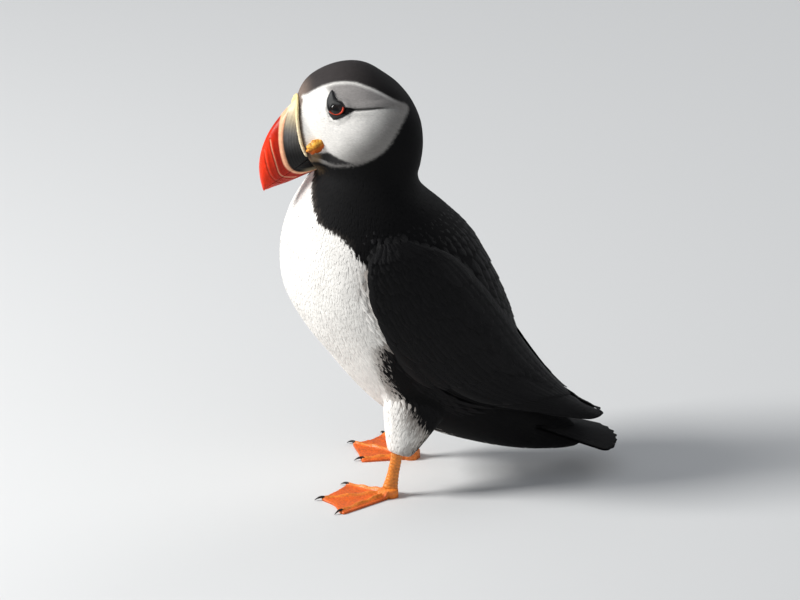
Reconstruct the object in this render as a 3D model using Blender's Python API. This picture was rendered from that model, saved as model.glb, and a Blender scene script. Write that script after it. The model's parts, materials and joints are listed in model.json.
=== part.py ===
"""Atlantic puffin in summer plumage, a life-size standing model.

The bird faces -Y with its left side at +X and stands on the floor, Z = 0. Every size below is in
millimetres, and a point is given as forward (towards the bill), left and up, from the middle of
the stance. The body is one lofted form, divided into head, neck and trunk. What sits on or in it
(eyes, bill, wings, tail, legs) is a solid of its own, and its bed is cut out of the body a little
wider than the piece, so that no two solids touch.
"""

import math

import bmesh
import bpy
from mathutils import Matrix, Vector

MM = 0.001
GAP = 0.35  # the clearance that neighbouring solids keep
TURN = 2 * math.pi

# The body's stations from the crown to the vent. Each is a slice through the body: its front (or
# belly) point and its back point in the plane of symmetry, as (forward, up), its half width, and
# how much narrower the front of the slice is than its back.
BODY = (
    ((18.5, 206.8), (17.5, 206.8), 0.5, 0.00),  # 0 crown
    ((32.4, 203.6), (3.6, 201.0), 12.6, 0.10),
    ((40.0, 198.4), (-4.4, 194.4), 17.4, 0.10),
    ((43.6, 191.4), (-10.4, 186.2), 20.2, 0.12),  # 3 eye
    ((44.2, 183.4), (-14.2, 176.6), 21.6, 0.12),
    ((42.6, 173.8), (-15.2, 166.6), 21.8, 0.12),
    ((38.6, 165.0), (-14.2, 157.6), 21.6, 0.10),  # 6 gape
    ((35.4, 156.6), (-12.8, 150.6), 22.6, 0.06),  # 7 throat
    ((41.5, 146.4), (-16.2, 143.6), 27.0, 0.04),
    ((48.0, 132.6), (-26.6, 134.2), 34.0, -0.14),  # 9 shoulders
    ((51.6, 116.6), (-38.8, 121.0), 39.0, -0.14),
    ((50.2, 99.0), (-49.2, 101.0), 41.0, -0.14),  # 11 breast
    ((42.0, 82.0), (-56.2, 83.4), 40.0, -0.14),
    ((29.0, 64.4), (-60.6, 66.8), 36.0, -0.14),
    ((15.0, 47.0), (-63.6, 54.0), 30.0, -0.14),  # 14 belly
    ((0.0, 33.4), (-66.8, 43.6), 23.5, -0.14),
    ((-19.0, 23.6), (-71.8, 35.0), 18.0, -0.06),  # 16 vent
    ((-43.0, 15.2), (-78.4, 28.8), 13.0, 0.00),
    ((-70.0, 10.4), (-86.0, 22.8), 9.6, 0.00),
    ((-89.0, 10.8), (-92.4, 16.8), 4.6, 0.00),  # 19 end of the tail coverts
)
NECK_TOP, NECK_FOOT = 6.75, 8.45  # where the head, neck and trunk part, in stations
BODY_SEGMENTS, RINGS_PER_STATION = 24, 2

# The folded wings wrap this form: as the body, but fuller, and drawn out behind to the wing tips.
# Its stations carry the same numbers as the body's, from WING_FIRST on.
WING_FIRST = 9
WING_FORM = (
    ((50.0, 133.0), (-28.4, 135.4), 36.0, -0.14),
    ((53.6, 117.0), (-41.0, 122.0), 41.8, -0.14),
    ((52.2, 99.2), (-51.6, 101.8), 44.0, -0.14),
    ((44.0, 82.0), (-58.8, 83.8), 43.0, -0.14),
    ((31.0, 64.4), (-65.0, 68.0), 39.0, -0.14),
    ((15.0, 48.0), (-71.0, 56.0), 33.0, -0.14),
    ((-6.0, 37.0), (-77.0, 47.0), 27.5, -0.10),
    ((-32.0, 30.0), (-83.4, 39.6), 20.5, -0.06),
    ((-60.0, 25.0), (-90.6, 33.4), 15.0, 0.00),
    ((-84.0, 23.0), (-98.0, 29.0), 10.5, 0.00),
    ((-99.0, 23.5), (-103.0, 26.5), 5.5, 0.00),
)
# Each wing's lower and upper edge by station: degrees round from the belly line.
WING_EDGES = (
    (9.40, 87, 107),
    (9.80, 80, 120),
    (10.3, 77, 129),
    (11.0, 76, 138),
    (12.0, 76, 147),
    (13.0, 78, 155),
    (14.0, 82, 162),
    (15.0, 89, 166),
    (16.0, 98, 168),
    (17.0, 108, 168),
    (18.0, 122, 165),
    (18.6, 136, 158),
)
WING_THICK, WING_TIP_THICK = 8.0, 1.4
WING_ROWS, WING_COLUMNS = 20, 6

TAIL_ROOT, TAIL_TIP = (-50.0, 31.5), (-107.0, 11.4)
TAIL_ROOT_HALF, TAIL_TIP_HALF = 6.0, 18.5
TAIL_ROUNDING = 5.0  # how far the middle feathers pass the outer ones
TAIL_THICK, TAIL_ARCH = 2.6, 2.2
TAIL_STEPS = 8

# The bill's slices from base to tip: ridge point, chin point, half width.
BILL = (
    ((37.0, 192.0), (27.0, 160.0), 7.6),
    ((43.4, 190.8), (32.4, 156.4), 7.8),
    ((48.2, 186.2), (41.0, 152.8), 7.0),
    ((53.4, 180.2), (47.6, 150.2), 5.8),
    ((57.6, 173.8), (52.0, 148.8), 4.8),
    ((60.6, 166.2), (55.4, 147.8), 3.9),
    ((61.8, 159.0), (57.6, 147.0), 3.1),
    ((61.4, 152.4), (59.0, 146.6), 2.1),
    ((60.2, 147.0), (59.6, 146.0), 0.4),
)
GAPE_CORNER, BILL_TIP = (37.0, 164.6), (60.0, 147.2)  # the line where the two mandibles meet
RIDGE_PATH = (  # the fleshy rim round the bill's base, from the gape up to the top
    (41.4, 9.0, 164.8),
    (43.8, 8.9, 170.6),
    (45.2, 8.2, 178.0),
    (45.6, 6.6, 184.6),
    (45.0, 4.0, 189.2),
    (44.4, 0.0, 191.4),
)
RIDGE_RADIUS = 1.5
ROSETTE = ((36.6, 12.8, 169.6), (4.8, 2.5, 3.2))  # centre, half sizes
ROSETTE_SLOPE = 28.0

EYE_STATION, EYE_ANGLE = 3.0, 64.0  # where the eye sits on the head, by station and degrees
EYE_RADIUS, EYE_SUNK = 4.4, 2.6
EYE_RING_RADIUS, EYE_RING_WIRE = 4.2, 0.75
PLATE_THICK, PLATE_PROUD = 2.2, 0.7
PLATE_FALL = 0.04  # how much a plate falls away for each millimetre from the eye's centre
UPPER_PLATE = ((4.6, 3.0), (-0.6, 5.4), (2.6, 8.6))  # ahead of and above the eye's centre
LOWER_PLATE = ((3.8, -5.3), (-6.4, -5.0), (2.2, -7.4))

HEEL = {"left": (4.5, 25.0), "right": (-14.0, -23.0)}  # where each heel stands: forward, left
SPLAY = {"left": 0.0, "right": 42.0}  # how far each foot turns outwards, in degrees
HOCK_BACK, HOCK_UP = 5.0, 29.0  # the hock joint, from the heel
HEEL_UP = 5.4
SHANK_FORE, SHANK_SIDE = 3.0, 2.3
THIGH_TOP = (-14.0, 17.0, 60.0)
THIGH_TOP_HALF, THIGH_FOOT_HALF = (22.0, 13.0), (5.2, 5.0)
THIGH_FOOT_UP = 21.0

TOES = (  # name, degrees outwards from the foot's axis, length to the claw
    ("inner", -42.0, 24.0),
    ("middle", 0.0, 32.5),
    ("outer", 34.0, 32.5),
)
TOE_HALF, TOE_TIP_HALF, TOE_HIGH, TOE_TIP_HIGH = 2.5, 1.6, 4.2, 2.6
WEB_THICK, WEB_SAG = 1.0, 0.10
HEEL_HALF, HEEL_HIGH = 4.2, 5.0
CLAW_LONG, CLAW_THICK = 5.0, 1.25

BLACK = ("plumage_black", (0.012, 0.012, 0.014), 0.55)
WHITE = ("plumage_white", (0.86, 0.85, 0.81), 0.8)
RED = ("bill_red", (0.78, 0.10, 0.02), 0.3)
SLATE = ("bill_slate", (0.10, 0.11, 0.13), 0.35)
CREAM = ("bill_rim", (0.80, 0.66, 0.40), 0.45)
ORANGE = ("skin_orange", (0.90, 0.28, 0.03), 0.45)
RING = ("eye_ring", (0.62, 0.05, 0.02), 0.5)
IRIS = ("eye", (0.01, 0.008, 0.007), 0.05)
CLAW = ("claw", (0.02, 0.018, 0.016), 0.35)


def at(forward, left, up):
    """A point of the bird as a Blender one, in metres."""
    return Vector((left, -forward, up)) * MM


def material(finish):
    """The material of that name, made at its first use."""
    name, colour, roughness = finish
    made = bpy.data.materials.get(name)
    if made is None:
        made = bpy.data.materials.new(name)
        made.use_nodes = True
        shader = made.node_tree.nodes["Principled BSDF"]
        shader.inputs["Base Color"].default_value = (*colour, 1.0)
        shader.inputs["Roughness"].default_value = roughness
    return made


def add_mesh(name, points, faces, finish):
    """An object from Blender points and faces, with its normals turned outwards.

    Triangles are flat, so what a cut leaves of them is flat too.
    """
    mesh = bpy.data.meshes.new(name)
    shape = bmesh.new()
    verts = [shape.verts.new(p) for p in points]
    for face in faces:
        shape.faces.new([verts[i] for i in face])
    bmesh.ops.triangulate(shape, faces=shape.faces)
    bmesh.ops.recalc_face_normals(shape, faces=shape.faces)
    shape.to_mesh(mesh)
    shape.free()
    mesh.materials.append(material(finish))
    mesh.shade_smooth()
    mesh.set_sharp_from_angle(angle=math.radians(50))
    made = bpy.data.objects.new(name, mesh)
    bpy.context.scene.collection.objects.link(made)
    return made


def as_cutter(made):
    """Hides a shape that only cuts others."""
    made.hide_render = True
    made.display_type = "WIRE"
    return made


def carve(made, *cutters, operation="DIFFERENCE"):
    for cutter in cutters:
        cut = made.modifiers.new(cutter.name, "BOOLEAN")
        cut.operation = operation
        cut.object = cutter
    return made


def closed_tube(name, rings, finish):
    """A closed solid through rings of equal size, each end closed by a fan of triangles."""
    size = len(rings[0])
    points = [p for ring in rings for p in ring]
    faces = [
        (r * size + i, r * size + (i + 1) % size, (r + 1) * size + (i + 1) % size, (r + 1) * size + i)
        for r in range(len(rings) - 1)
        for i in range(size)
    ]
    for ring, first in ((rings[0], 0), (rings[-1], len(points) - size)):
        faces += [(first + i, first + (i + 1) % size, len(points)) for i in range(size)]
        points.append(sum(ring, Vector()) / size)
    return add_mesh(name, points, faces, finish)


def smooth_between(values, where):
    """The value at a place between equally spaced ones, on a smooth curve through them all."""
    last = len(values) - 1
    first = min(max(int(where), 0), last - 1)
    t = where - first
    a, b = values[first], values[first + 1]
    before = values[first - 1] if first > 0 else 2 * a - b
    after = values[first + 2] if first + 2 <= last else 2 * b - a
    return 0.5 * (
        2 * a + (b - before) * t + (2 * before - 5 * a + 4 * b - after) * t * t
        + (3 * a - before - 3 * b + after) * t**3
    )


def slice_at(form, station):
    """Middle, half depth vector and half width of a form's slice, in bird millimetres.

    Squares of the half sizes are what runs smoothly, which rounds the form off at its ends.
    """
    middles = [Vector(((f[0] + b[0]) / 2, (f[1] + b[1]) / 2)) for f, b, _, _ in form]
    depths = [Vector((f[0] - b[0], f[1] - b[1])) / 2 for f, b, _, _ in form]
    middle = smooth_between(middles, station)
    lean = smooth_between([d.normalized() for d in depths], station).normalized()
    depth = math.sqrt(max(smooth_between([d.length_squared for d in depths], station), 0.01))
    width = math.sqrt(max(smooth_between([w * w for _, _, w, _ in form], station), 0.01))
    return middle, lean, depth, width, smooth_between([e for *_, e in form], station)


def form_point(form, station, angle, grow=0.0):
    """A point on a lofted form. The angle runs from the front, or belly, round by the left."""
    middle, lean, depth, width, pinch = slice_at(form, station)
    along = lean * (depth + grow) * math.cos(angle)
    side = (width + grow) * math.sin(angle) * (1 - pinch * math.cos(angle))
    return Vector((middle.x + along.x, side, middle.y + along.y))


def body_ring(station, grow=0.0):
    return [
        at(*form_point(BODY, station, TURN * i / BODY_SEGMENTS, grow)) for i in range(BODY_SEGMENTS)
    ]


def body_piece(name, first, last, finish, grow=0.0):
    """The length of the body between two stations, with its ends closed flat."""
    steps = max(4, round((last - first) * RINGS_PER_STATION))
    stations = [first + (last - first) * i / steps for i in range(steps + 1)]
    if first == 0:
        stations[0:1] = [0.0, 0.06]
    return closed_tube(name, [body_ring(s, grow) for s in stations], finish)


def wing_edge(station, column):
    """The lower (1) or upper (2) edge's angle at a station, in degrees."""
    if station < WING_EDGES[0][0]:
        return WING_EDGES[0][column]
    for low, high in zip(WING_EDGES, WING_EDGES[1:]):
        if station <= high[0]:
            share = (station - low[0]) / (high[0] - low[0])
            return low[column] + (high[column] - low[column]) * share
    return WING_EDGES[-1][column]


def wing_ring(station, side, grow):
    """One section of a folded wing: out along its outer face and back along its inner one."""
    start, end = WING_EDGES[0][0], WING_EDGES[-1][0]
    share = min(max((station - start) / (end - start), 0), 1)
    thick = WING_THICK + (WING_TIP_THICK - WING_THICK) * share
    low, high = math.radians(wing_edge(station, 1)), math.radians(wing_edge(station, 2))
    _, _, depth, width, _ = slice_at(WING_FORM, station - WING_FIRST)
    spread = 1.5 * grow / min(depth, width)
    ring = []
    for face in (0, 1):
        for i in range(WING_COLUMNS + 1):
            across = i / WING_COLUMNS if face == 0 else 1 - i / WING_COLUMNS
            angle = low - spread + (high - low + 2 * spread) * across
            rounding = 1 - (2 * across - 1) ** 4
            inward = thick * (0.25 + 0.75 * rounding)
            offset = grow if face == 0 else -inward - grow
            p = form_point(WING_FORM, station - WING_FIRST, angle, offset)
            ring.append(at(p.x, side * p.y, p.z))
    return ring


def wing(name, side, finish, grow=0.0):
    start, end = WING_EDGES[0][0], WING_EDGES[-1][0]
    stations = [start + (end - start) * i / WING_ROWS for i in range(WING_ROWS + 1)]
    if grow:
        stations = [start - grow / 4, *stations, end + grow / 4]
    return closed_tube(name, [wing_ring(s, side, grow) for s in stations], finish)


def tail(name, finish, grow=0.0):
    """The tail fan, folded narrow: a thin arched wedge with a rounded end."""
    root, tip = Vector(TAIL_ROOT), Vector(TAIL_TIP)
    run = (tip - root).normalized()
    up = Vector((run.y, -run.x))
    length = (tip - root).length
    rings = []
    for step in range(6):
        share = step / 5
        half = TAIL_ROOT_HALF + (TAIL_TIP_HALF - TAIL_ROOT_HALF) * share + grow
        half_thick = TAIL_THICK / 2 * (1 - 0.4 * share) + grow
        ring = []
        for face in (1, -1):
            for i in range(TAIL_STEPS + 1):
                across = face * (1 - 2 * i / TAIL_STEPS)
                reach = length - TAIL_ROUNDING * (1 - math.cos(across * math.pi / 2))
                along = share * reach + grow * (2 * share - 1)
                arch = TAIL_ARCH * share * (1 - across * across)
                edge = 1 - 0.5 * across**8
                p = root + run * along + up * (arch + face * half_thick * edge)
                ring.append(at(p.x, across * half, p.y))
        rings.append(ring)
    return closed_tube(name, rings, finish)


def bill_whole(name, finish):
    """Both mandibles as one form, laterally flattened, from inside the head to the tip."""
    rings = []
    steps = 12
    for i in range(steps + 1):
        where = i * (len(BILL) - 1) / steps
        top = smooth_between([Vector(t) for t, _, _ in BILL], where)
        foot = smooth_between([Vector(c) for _, c, _ in BILL], where)
        half = max(smooth_between([w for *_, w in BILL], where), 0.4)
        middle, reach = (top + foot) / 2, (top - foot) / 2
        ring = []
        for j in range(14):
            angle = TURN * j / 14
            along = reach * math.cos(angle)
            ring.append(at(middle.x + along.x, half * math.sin(angle), middle.y + along.y))
        rings.append(ring)
    return closed_tube(name, rings, finish)


def gape_half(name, upper):
    """A block that holds all of the bill on one side of the gape, less the slit between."""
    corner, tip = Vector(GAPE_CORNER), Vector(BILL_TIP)
    run = (tip - corner).normalized()
    up = Vector((-run.y, run.x))
    sign = 1 if upper else -1
    near, far = sign * GAP / 2, sign * 60.0
    corners = []
    for along in (-40.0, 60.0):
        for height in (near, far):
            for left in (-20.0, 20.0):
                p = corner + run * along + up * height
                corners.append(at(p.x, left, p.y))
    faces = ((0, 1, 3, 2), (4, 5, 7, 6), (0, 1, 5, 4), (2, 3, 7, 6), (0, 2, 6, 4), (1, 3, 7, 5))
    return as_cutter(add_mesh(name, corners, faces, SLATE))


def swept(name, path, halves, finish, sides=10, across=None):
    """A closed tube along a path of bird points, with an oval of given half sizes at each."""
    points = [Vector(p) for p in path]
    rings = []
    for i, p in enumerate(points):
        run = (points[min(i + 1, len(points) - 1)] - points[max(i - 1, 0)]).normalized()
        side = Vector(across) if across else run.orthogonal()
        side = (side - run * side.dot(run)).normalized()
        fore = run.cross(side)
        a, b = halves[i]
        ring = []
        for j in range(sides):
            angle = TURN * j / sides
            q = p + fore * a * math.cos(angle) + side * b * math.sin(angle)
            ring.append(at(*q))
        rings.append(ring)
    return closed_tube(name, rings, finish)


def bill_rim(name, finish, grow=0.0):
    """The fleshy rim, an arch from one gape corner over the bill's top to the other."""
    half = [Vector(p) for p in RIDGE_PATH]
    whole = half + [Vector((p.x, -p.y, p.z)) for p in reversed(half[:-1])]
    steps = 2 * (len(whole) - 1)
    path = [smooth_between(whole, i * (len(whole) - 1) / steps) for i in range(steps + 1)]
    radius = RIDGE_RADIUS + grow
    if grow:
        path[0] = path[0] + (path[0] - path[1]).normalized() * grow
        path[-1] = path[-1] + (path[-1] - path[-2]).normalized() * grow
    return swept(name, path, [(radius, radius)] * len(path), finish, sides=6, across=(1, 0, 0))


def ball(name, centre, halves, slope, finish, grow=0.0, sides=12, rows=6):
    """An ellipsoid at a bird point, its long way turned down in front by slope degrees."""
    shape = bmesh.new()
    bmesh.ops.create_uvsphere(shape, u_segments=sides, v_segments=rows, radius=1.0)
    tilt = math.radians(slope)
    forward = Vector((0, -math.cos(tilt), -math.sin(tilt)))
    upward = Vector((0, -math.sin(tilt), math.cos(tilt)))
    fore, side, high = (h + grow for h in halves)
    for v in shape.verts:
        v.co = at(*centre) + MM * (
            forward * v.co.z * fore + Vector((1, 0, 0)) * v.co.x * side + upward * v.co.y * high
        )
    shape.normal_update()
    bmesh.ops.recalc_face_normals(shape, faces=shape.faces)
    mesh = bpy.data.meshes.new(name)
    shape.to_mesh(mesh)
    shape.free()
    mesh.materials.append(material(finish))
    mesh.shade_smooth()
    made = bpy.data.objects.new(name, mesh)
    bpy.context.scene.collection.objects.link(made)
    return made


def eye_frame(side):
    """The eye's place on the head: point, outward, rearward and upward directions, Blender axes."""
    angle = math.radians(EYE_ANGLE)
    p = at(*form_point(BODY, EYE_STATION, angle))
    round_head = at(*form_point(BODY, EYE_STATION, angle + 0.05)) - p
    down_head = at(*form_point(BODY, EYE_STATION + 0.1, angle)) - p
    out = round_head.cross(down_head).normalized()
    if out.x < 0:
        out = -out
    up = (Vector((0, 0, 1)) - out * out.z).normalized()
    rear = (Vector((0, 1, 0)) - out * out.y - up * up.y).normalized()
    mirror = Vector((side, 1, 1))
    return p * mirror, out * mirror, rear * mirror, up * mirror


def ring_round(name, side, radius, wire, finish, grow=0.0):
    """The bare ring of skin round an eye."""
    centre, out, rear, up = eye_frame(side)
    points, faces = [], []
    around, tube = 14, 4
    for i in range(around):
        turn = TURN * i / around
        outward = rear * math.cos(turn) + up * math.sin(turn)
        for j in range(tube):
            roll = TURN * j / tube
            reach = radius + (wire + grow) * math.cos(roll)
            points.append(centre + MM * (outward * reach + out * (wire + grow) * math.sin(roll)))
    for i in range(around):
        for j in range(tube):
            k, m = (i + 1) % around, (j + 1) % tube
            faces.append((i * tube + j, k * tube + j, k * tube + m, i * tube + m))
    return add_mesh(name, points, faces, finish)


def plate(name, side, corners, finish, grow=0.0):
    """A horny plate beside the eye, set into the face and a little proud of it."""
    centre, out, rear, up = eye_frame(side)
    middle = sum((Vector(c) for c in corners), Vector((0, 0))) / len(corners)
    rings = []
    for depth in (-PLATE_THICK + PLATE_PROUD - grow, PLATE_PROUD + grow):
        ring = []
        for i, corner in enumerate(corners):
            here, after = Vector(corner), Vector(corners[(i + 1) % len(corners)])
            for share in (0.14, 0.5, 0.86):
                p = here.lerp(after, share)
                p = p + (p - middle).normalized() * (grow * 1.4)
                high = depth - PLATE_FALL * p.length
                ring.append(centre + MM * (rear * -p.x + up * p.y + out * high))
        rings.append(ring)
    return closed_tube(name, rings, finish)


def toe_lines(side_name):
    """Each toe's heel point, direction and length on the floor, in bird millimetres."""
    sign = 1 if side_name == "left" else -1
    heel = Vector(HEEL[side_name])
    lines = []
    for name, spread, length in TOES:
        angle = math.radians(SPLAY[side_name] + spread)
        lines.append((name, heel, Vector((math.cos(angle), sign * math.sin(angle))), length))
    return lines


def foot_height(p, lines):
    """How high the foot stands over a floor point: web, toes and heel."""
    high = WEB_THICK
    for _, heel, run, length in lines:
        along = (p - heel).dot(run)
        share = min(max(along / length, 0.0), 1.0)
        away = (p - heel - run * along).length
        half = TOE_HALF + (TOE_TIP_HALF - TOE_HALF) * share
        top = TOE_HIGH + (TOE_TIP_HIGH - TOE_HIGH) * share
        if along < length and away < half:
            high = max(high, top * math.sqrt(1 - (away / half) ** 2) ** 0.7)
    near = (p - lines[0][1]).length / (HEEL_HALF * 1.6)
    if near < 1:
        high = max(high, HEEL_HIGH * math.sqrt(1 - near * near))
    return high


def web_reach(turn, turns, lengths):
    """How far the foot goes from the heel in a direction: out to the toes and the web's hem."""
    half_tip = math.atan2(TOE_TIP_HALF, lengths[1])
    if turn <= turns[0] - half_tip or turn >= turns[-1] + half_tip:
        beyond = min(abs(turn - turns[0]), abs(turn - turns[-1]))
        longest = lengths[0] if turn < turns[0] else lengths[-1]
        return max(HEEL_HALF, min(longest, TOE_HALF / math.sin(min(beyond, math.pi / 2))))
    turn = min(max(turn, turns[0]), turns[-1])
    for first in range(len(turns) - 1):
        if turn <= turns[first + 1]:
            share = (turn - turns[first]) / (turns[first + 1] - turns[first])
            reach = lengths[first] + (lengths[first + 1] - lengths[first]) * share
            return reach * (1 - WEB_SAG * math.sin(math.pi * share))
    return lengths[-1]


def foot(name, side_name, finish):
    """The webbed foot on the floor: a low relief over a flat sole."""
    sign = 1 if side_name == "left" else -1
    lines = toe_lines(side_name)
    heel = lines[0][1]
    turns = [math.radians(SPLAY[side_name] + spread) for _, spread, _ in TOES]
    lengths = [length for *_, length in TOES]
    low, high = turns[0], turns[-1]
    fan = [low + (high - low) * i / 12 for i in range(13)]
    edge = [math.radians(d) for d in (2.9, 5.0, 8.0, 14.0, 26.0, 50.0, 80.0, 112.0)]
    directions = [low - e for e in reversed(edge)] + fan + [high + e for e in edge]
    shares = (0.14, 0.3, 0.5, 0.7, 0.88, 1.0)
    points = [at(heel.x, heel.y, HEEL_HIGH), at(heel.x, heel.y, 0)]
    for turn in directions:
        reach = web_reach(turn, turns, lengths)
        run = Vector((math.cos(turn), sign * math.sin(turn)))
        for share in shares:
            p = heel + run * reach * share
            points.append(at(p.x, p.y, foot_height(p, lines) * (0.75 if share == 1.0 else 1.0)))
        p = heel + run * reach
        points.append(at(p.x, p.y, 0))
    faces = []
    per = len(shares) + 1
    count = len(directions)
    for i in range(count):
        a, b = 2 + i * per, 2 + (i + 1) % count * per
        faces.append((0, a, b))
        faces += [(a + j, a + j + 1, b + j + 1, b + j) for j in range(len(shares))]
        faces.append((1, b + per - 1, a + per - 1))
    return add_mesh(name, points, faces, finish)


def claws(side_name):
    """The three claws of a foot, each curving down from its toe's end to the floor."""
    for name, heel, run, length in toe_lines(side_name):
        start = length * 1.0 + GAP + 0.15
        path, halves = [], []
        for i in range(5):
            share = i / 4
            p = heel + run * (start + CLAW_LONG * share)
            up = CLAW_THICK + 0.3 + 0.5 * math.sin(math.pi * share) - 0.75 * share**2
            path.append((p.x, p.y, up))
            halves.append((CLAW_THICK * (1 - 0.78 * share), CLAW_THICK * (1 - 0.78 * share)))
        swept(f"claw_{side_name}_{name}", path, halves, CLAW, sides=6, across=(0, 0, 1))


def shank_path(side_name):
    heel, left = HEEL[side_name]
    return [
        (heel - HOCK_BACK * t, left, HEEL_UP + (HOCK_UP - HEEL_UP) * t)
        for t in (0.0, 0.12, 0.3, 0.6, 0.85, 1.0)
    ]


def shank(name, side_name, finish, grow=0.0):
    """The bare lower leg, flattened sideways, thicker at both joints."""
    swell = (1.15, 1.02, 0.9, 0.9, 1.1, 1.2)
    halves = [(SHANK_FORE * s + grow, SHANK_SIDE * s + grow) for s in swell]
    path = [Vector(p) for p in shank_path(side_name)]
    stretch = (path[-1] - path[0]).normalized() * grow
    path[0] -= stretch
    path[-1] += stretch
    return swept(name, path, halves, finish, sides=10, across=(0, 1, 0))


def thigh(name, side_name, finish, grow=0.0):
    """The feathered leg: a cone from inside the belly down to the hock."""
    sign = 1 if side_name == "left" else -1
    top = Vector((THIGH_TOP[0], sign * THIGH_TOP[1], THIGH_TOP[2]))
    hock = Vector(shank_path(side_name)[4])
    low = Vector((hock.x, hock.y, THIGH_FOOT_UP))
    path, halves = [], []
    for i in range(7):
        share = i / 6
        swell = (1 - share) ** 0.85
        path.append(top.lerp(low, share))
        halves.append(
            tuple(f + (t - f) * swell + grow for t, f in zip(THIGH_TOP_HALF, THIGH_FOOT_HALF))
        )
    stretch = (low - top).normalized() * grow
    path[0] -= stretch
    path[-1] += stretch
    return swept(name, path, halves, finish, sides=14, across=(0, 1, 0))


def make_body():
    """Head, neck and trunk, with the beds of all that is set into them."""
    half_gap = 0.025
    head = body_piece("head", 0, NECK_TOP - half_gap, BLACK)
    body_piece("neck", NECK_TOP + half_gap, NECK_FOOT - half_gap, BLACK)
    trunk = body_piece("trunk", NECK_FOOT + half_gap, len(BODY) - 1, WHITE)
    for side_name, side in (("left", 1), ("right", -1)):
        centre, out, _, _ = eye_frame(side)
        ball_at = (centre - out * EYE_SUNK * MM) / MM
        eye_spot = (-ball_at.y, ball_at.x, ball_at.z)
        eye_half = (EYE_RADIUS,) * 3
        ball("eye_" + side_name, eye_spot, eye_half, 0, IRIS, sides=12, rows=7)
        eye_bed = as_cutter(ball("bed_eye_" + side_name, eye_spot, eye_half, 0, IRIS, GAP, 12, 7))
        ring = ring_round("eye_ring_" + side_name, side, EYE_RING_RADIUS, EYE_RING_WIRE, RING)
        ring_bed = as_cutter(
            ring_round("bed_ring_" + side_name, side, EYE_RING_RADIUS, EYE_RING_WIRE, RING, GAP)
        )
        carve(ring, eye_bed)
        carve(head, eye_bed, ring_bed)
        for part, corners in (("upper", UPPER_PLATE), ("lower", LOWER_PLATE)):
            made = plate(f"eye_plate_{part}_{side_name}", side, corners, SLATE)
            bed = as_cutter(plate(f"bed_plate_{part}_{side_name}", side, corners, SLATE, GAP))
            carve(made, ring_bed, eye_bed)
            carve(head, bed)
        wing("wing_" + side_name, side, BLACK)
        carve(trunk, as_cutter(wing("bed_wing_" + side_name, side, BLACK, GAP)))
    return head, trunk


def make_bill(head):
    """Both mandibles, the rim at their base and the rosettes at the gape."""
    rim = bill_rim("bill_rim", CREAM)
    rim_bed = as_cutter(bill_rim("bed_rim", CREAM, GAP))
    head_bed = as_cutter(body_piece("bed_head", 0, NECK_TOP + 1.4, BLACK, 1.4 * GAP))
    centre, halves = ROSETTE
    beds = []
    for side_name, side in (("left", 1), ("right", -1)):
        spot = (centre[0], side * centre[1], centre[2])
        ball("rosette_" + side_name, spot, halves, ROSETTE_SLOPE, ORANGE)
        beds.append(
            as_cutter(ball("bed_rosette_" + side_name, spot, halves, ROSETTE_SLOPE, ORANGE, GAP))
        )
    for name, upper in (("bill_upper", True), ("bill_lower", False)):
        mandible = bill_whole(name, RED)
        carve(mandible, gape_half("side_" + name, upper), operation="INTERSECT")
        carve(mandible, head_bed, rim_bed, *beds)
    carve(rim, *beds)
    carve(head, rim_bed, *beds)


def make_legs(trunk):
    for side_name in ("left", "right"):
        shank("shank_" + side_name, side_name, ORANGE)
        shank_bed = as_cutter(shank("bed_shank_" + side_name, side_name, ORANGE, GAP))
        leg = thigh("thigh_" + side_name, side_name, WHITE)
        carve(leg, shank_bed)
        thigh_bed = as_cutter(thigh("bed_thigh_" + side_name, side_name, WHITE, GAP))
        carve(trunk, thigh_bed)
        paw = foot("foot_" + side_name, side_name, ORANGE)
        carve(paw, shank_bed)
        claws(side_name)


def make_tail(trunk):
    tail("tail", BLACK)
    carve(trunk, as_cutter(tail("bed_tail", BLACK, GAP)))


def centre_on_floor():
    """Moves everything so that the origin is below the middle of the whole bird."""
    shown = [v.co for o in bpy.data.objects if not o.hide_render for v in o.data.vertices]
    low = Vector(min(p[i] for p in shown) for i in range(3))
    high = Vector(max(p[i] for p in shown) for i in range(3))
    shift = Vector(((low.x + high.x) / -2, (low.y + high.y) / -2, 0))
    for made in bpy.data.objects:
        made.data.transform(Matrix.Translation(shift))


def main():
    for old in list(bpy.data.objects):
        bpy.data.objects.remove(old, do_unlink=True)
    head, trunk = make_body()
    make_bill(head)
    make_tail(trunk)
    make_legs(trunk)
    centre_on_floor()


main()
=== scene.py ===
"""Atlantic puffin in summer plumage, life size: skin, coat, bill, eyes and feet over its frame.

A place on the bird is given in millimetres forward (towards the bill), left and up from the
middle of the stance, as in the source of the solids, and `place` turns it into the scene's metres.
Body and folded wings are lofted forms: a place on one is a station and an angle, in degrees round
from the belly line. Run as a script, this registers the operators and calls them in order.
"""

import json
import math

import bmesh
import bpy
import numpy as np
from bpy.props import FloatProperty, FloatVectorProperty, PointerProperty
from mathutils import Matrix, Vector
from mathutils.kdtree import KDTree

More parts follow.
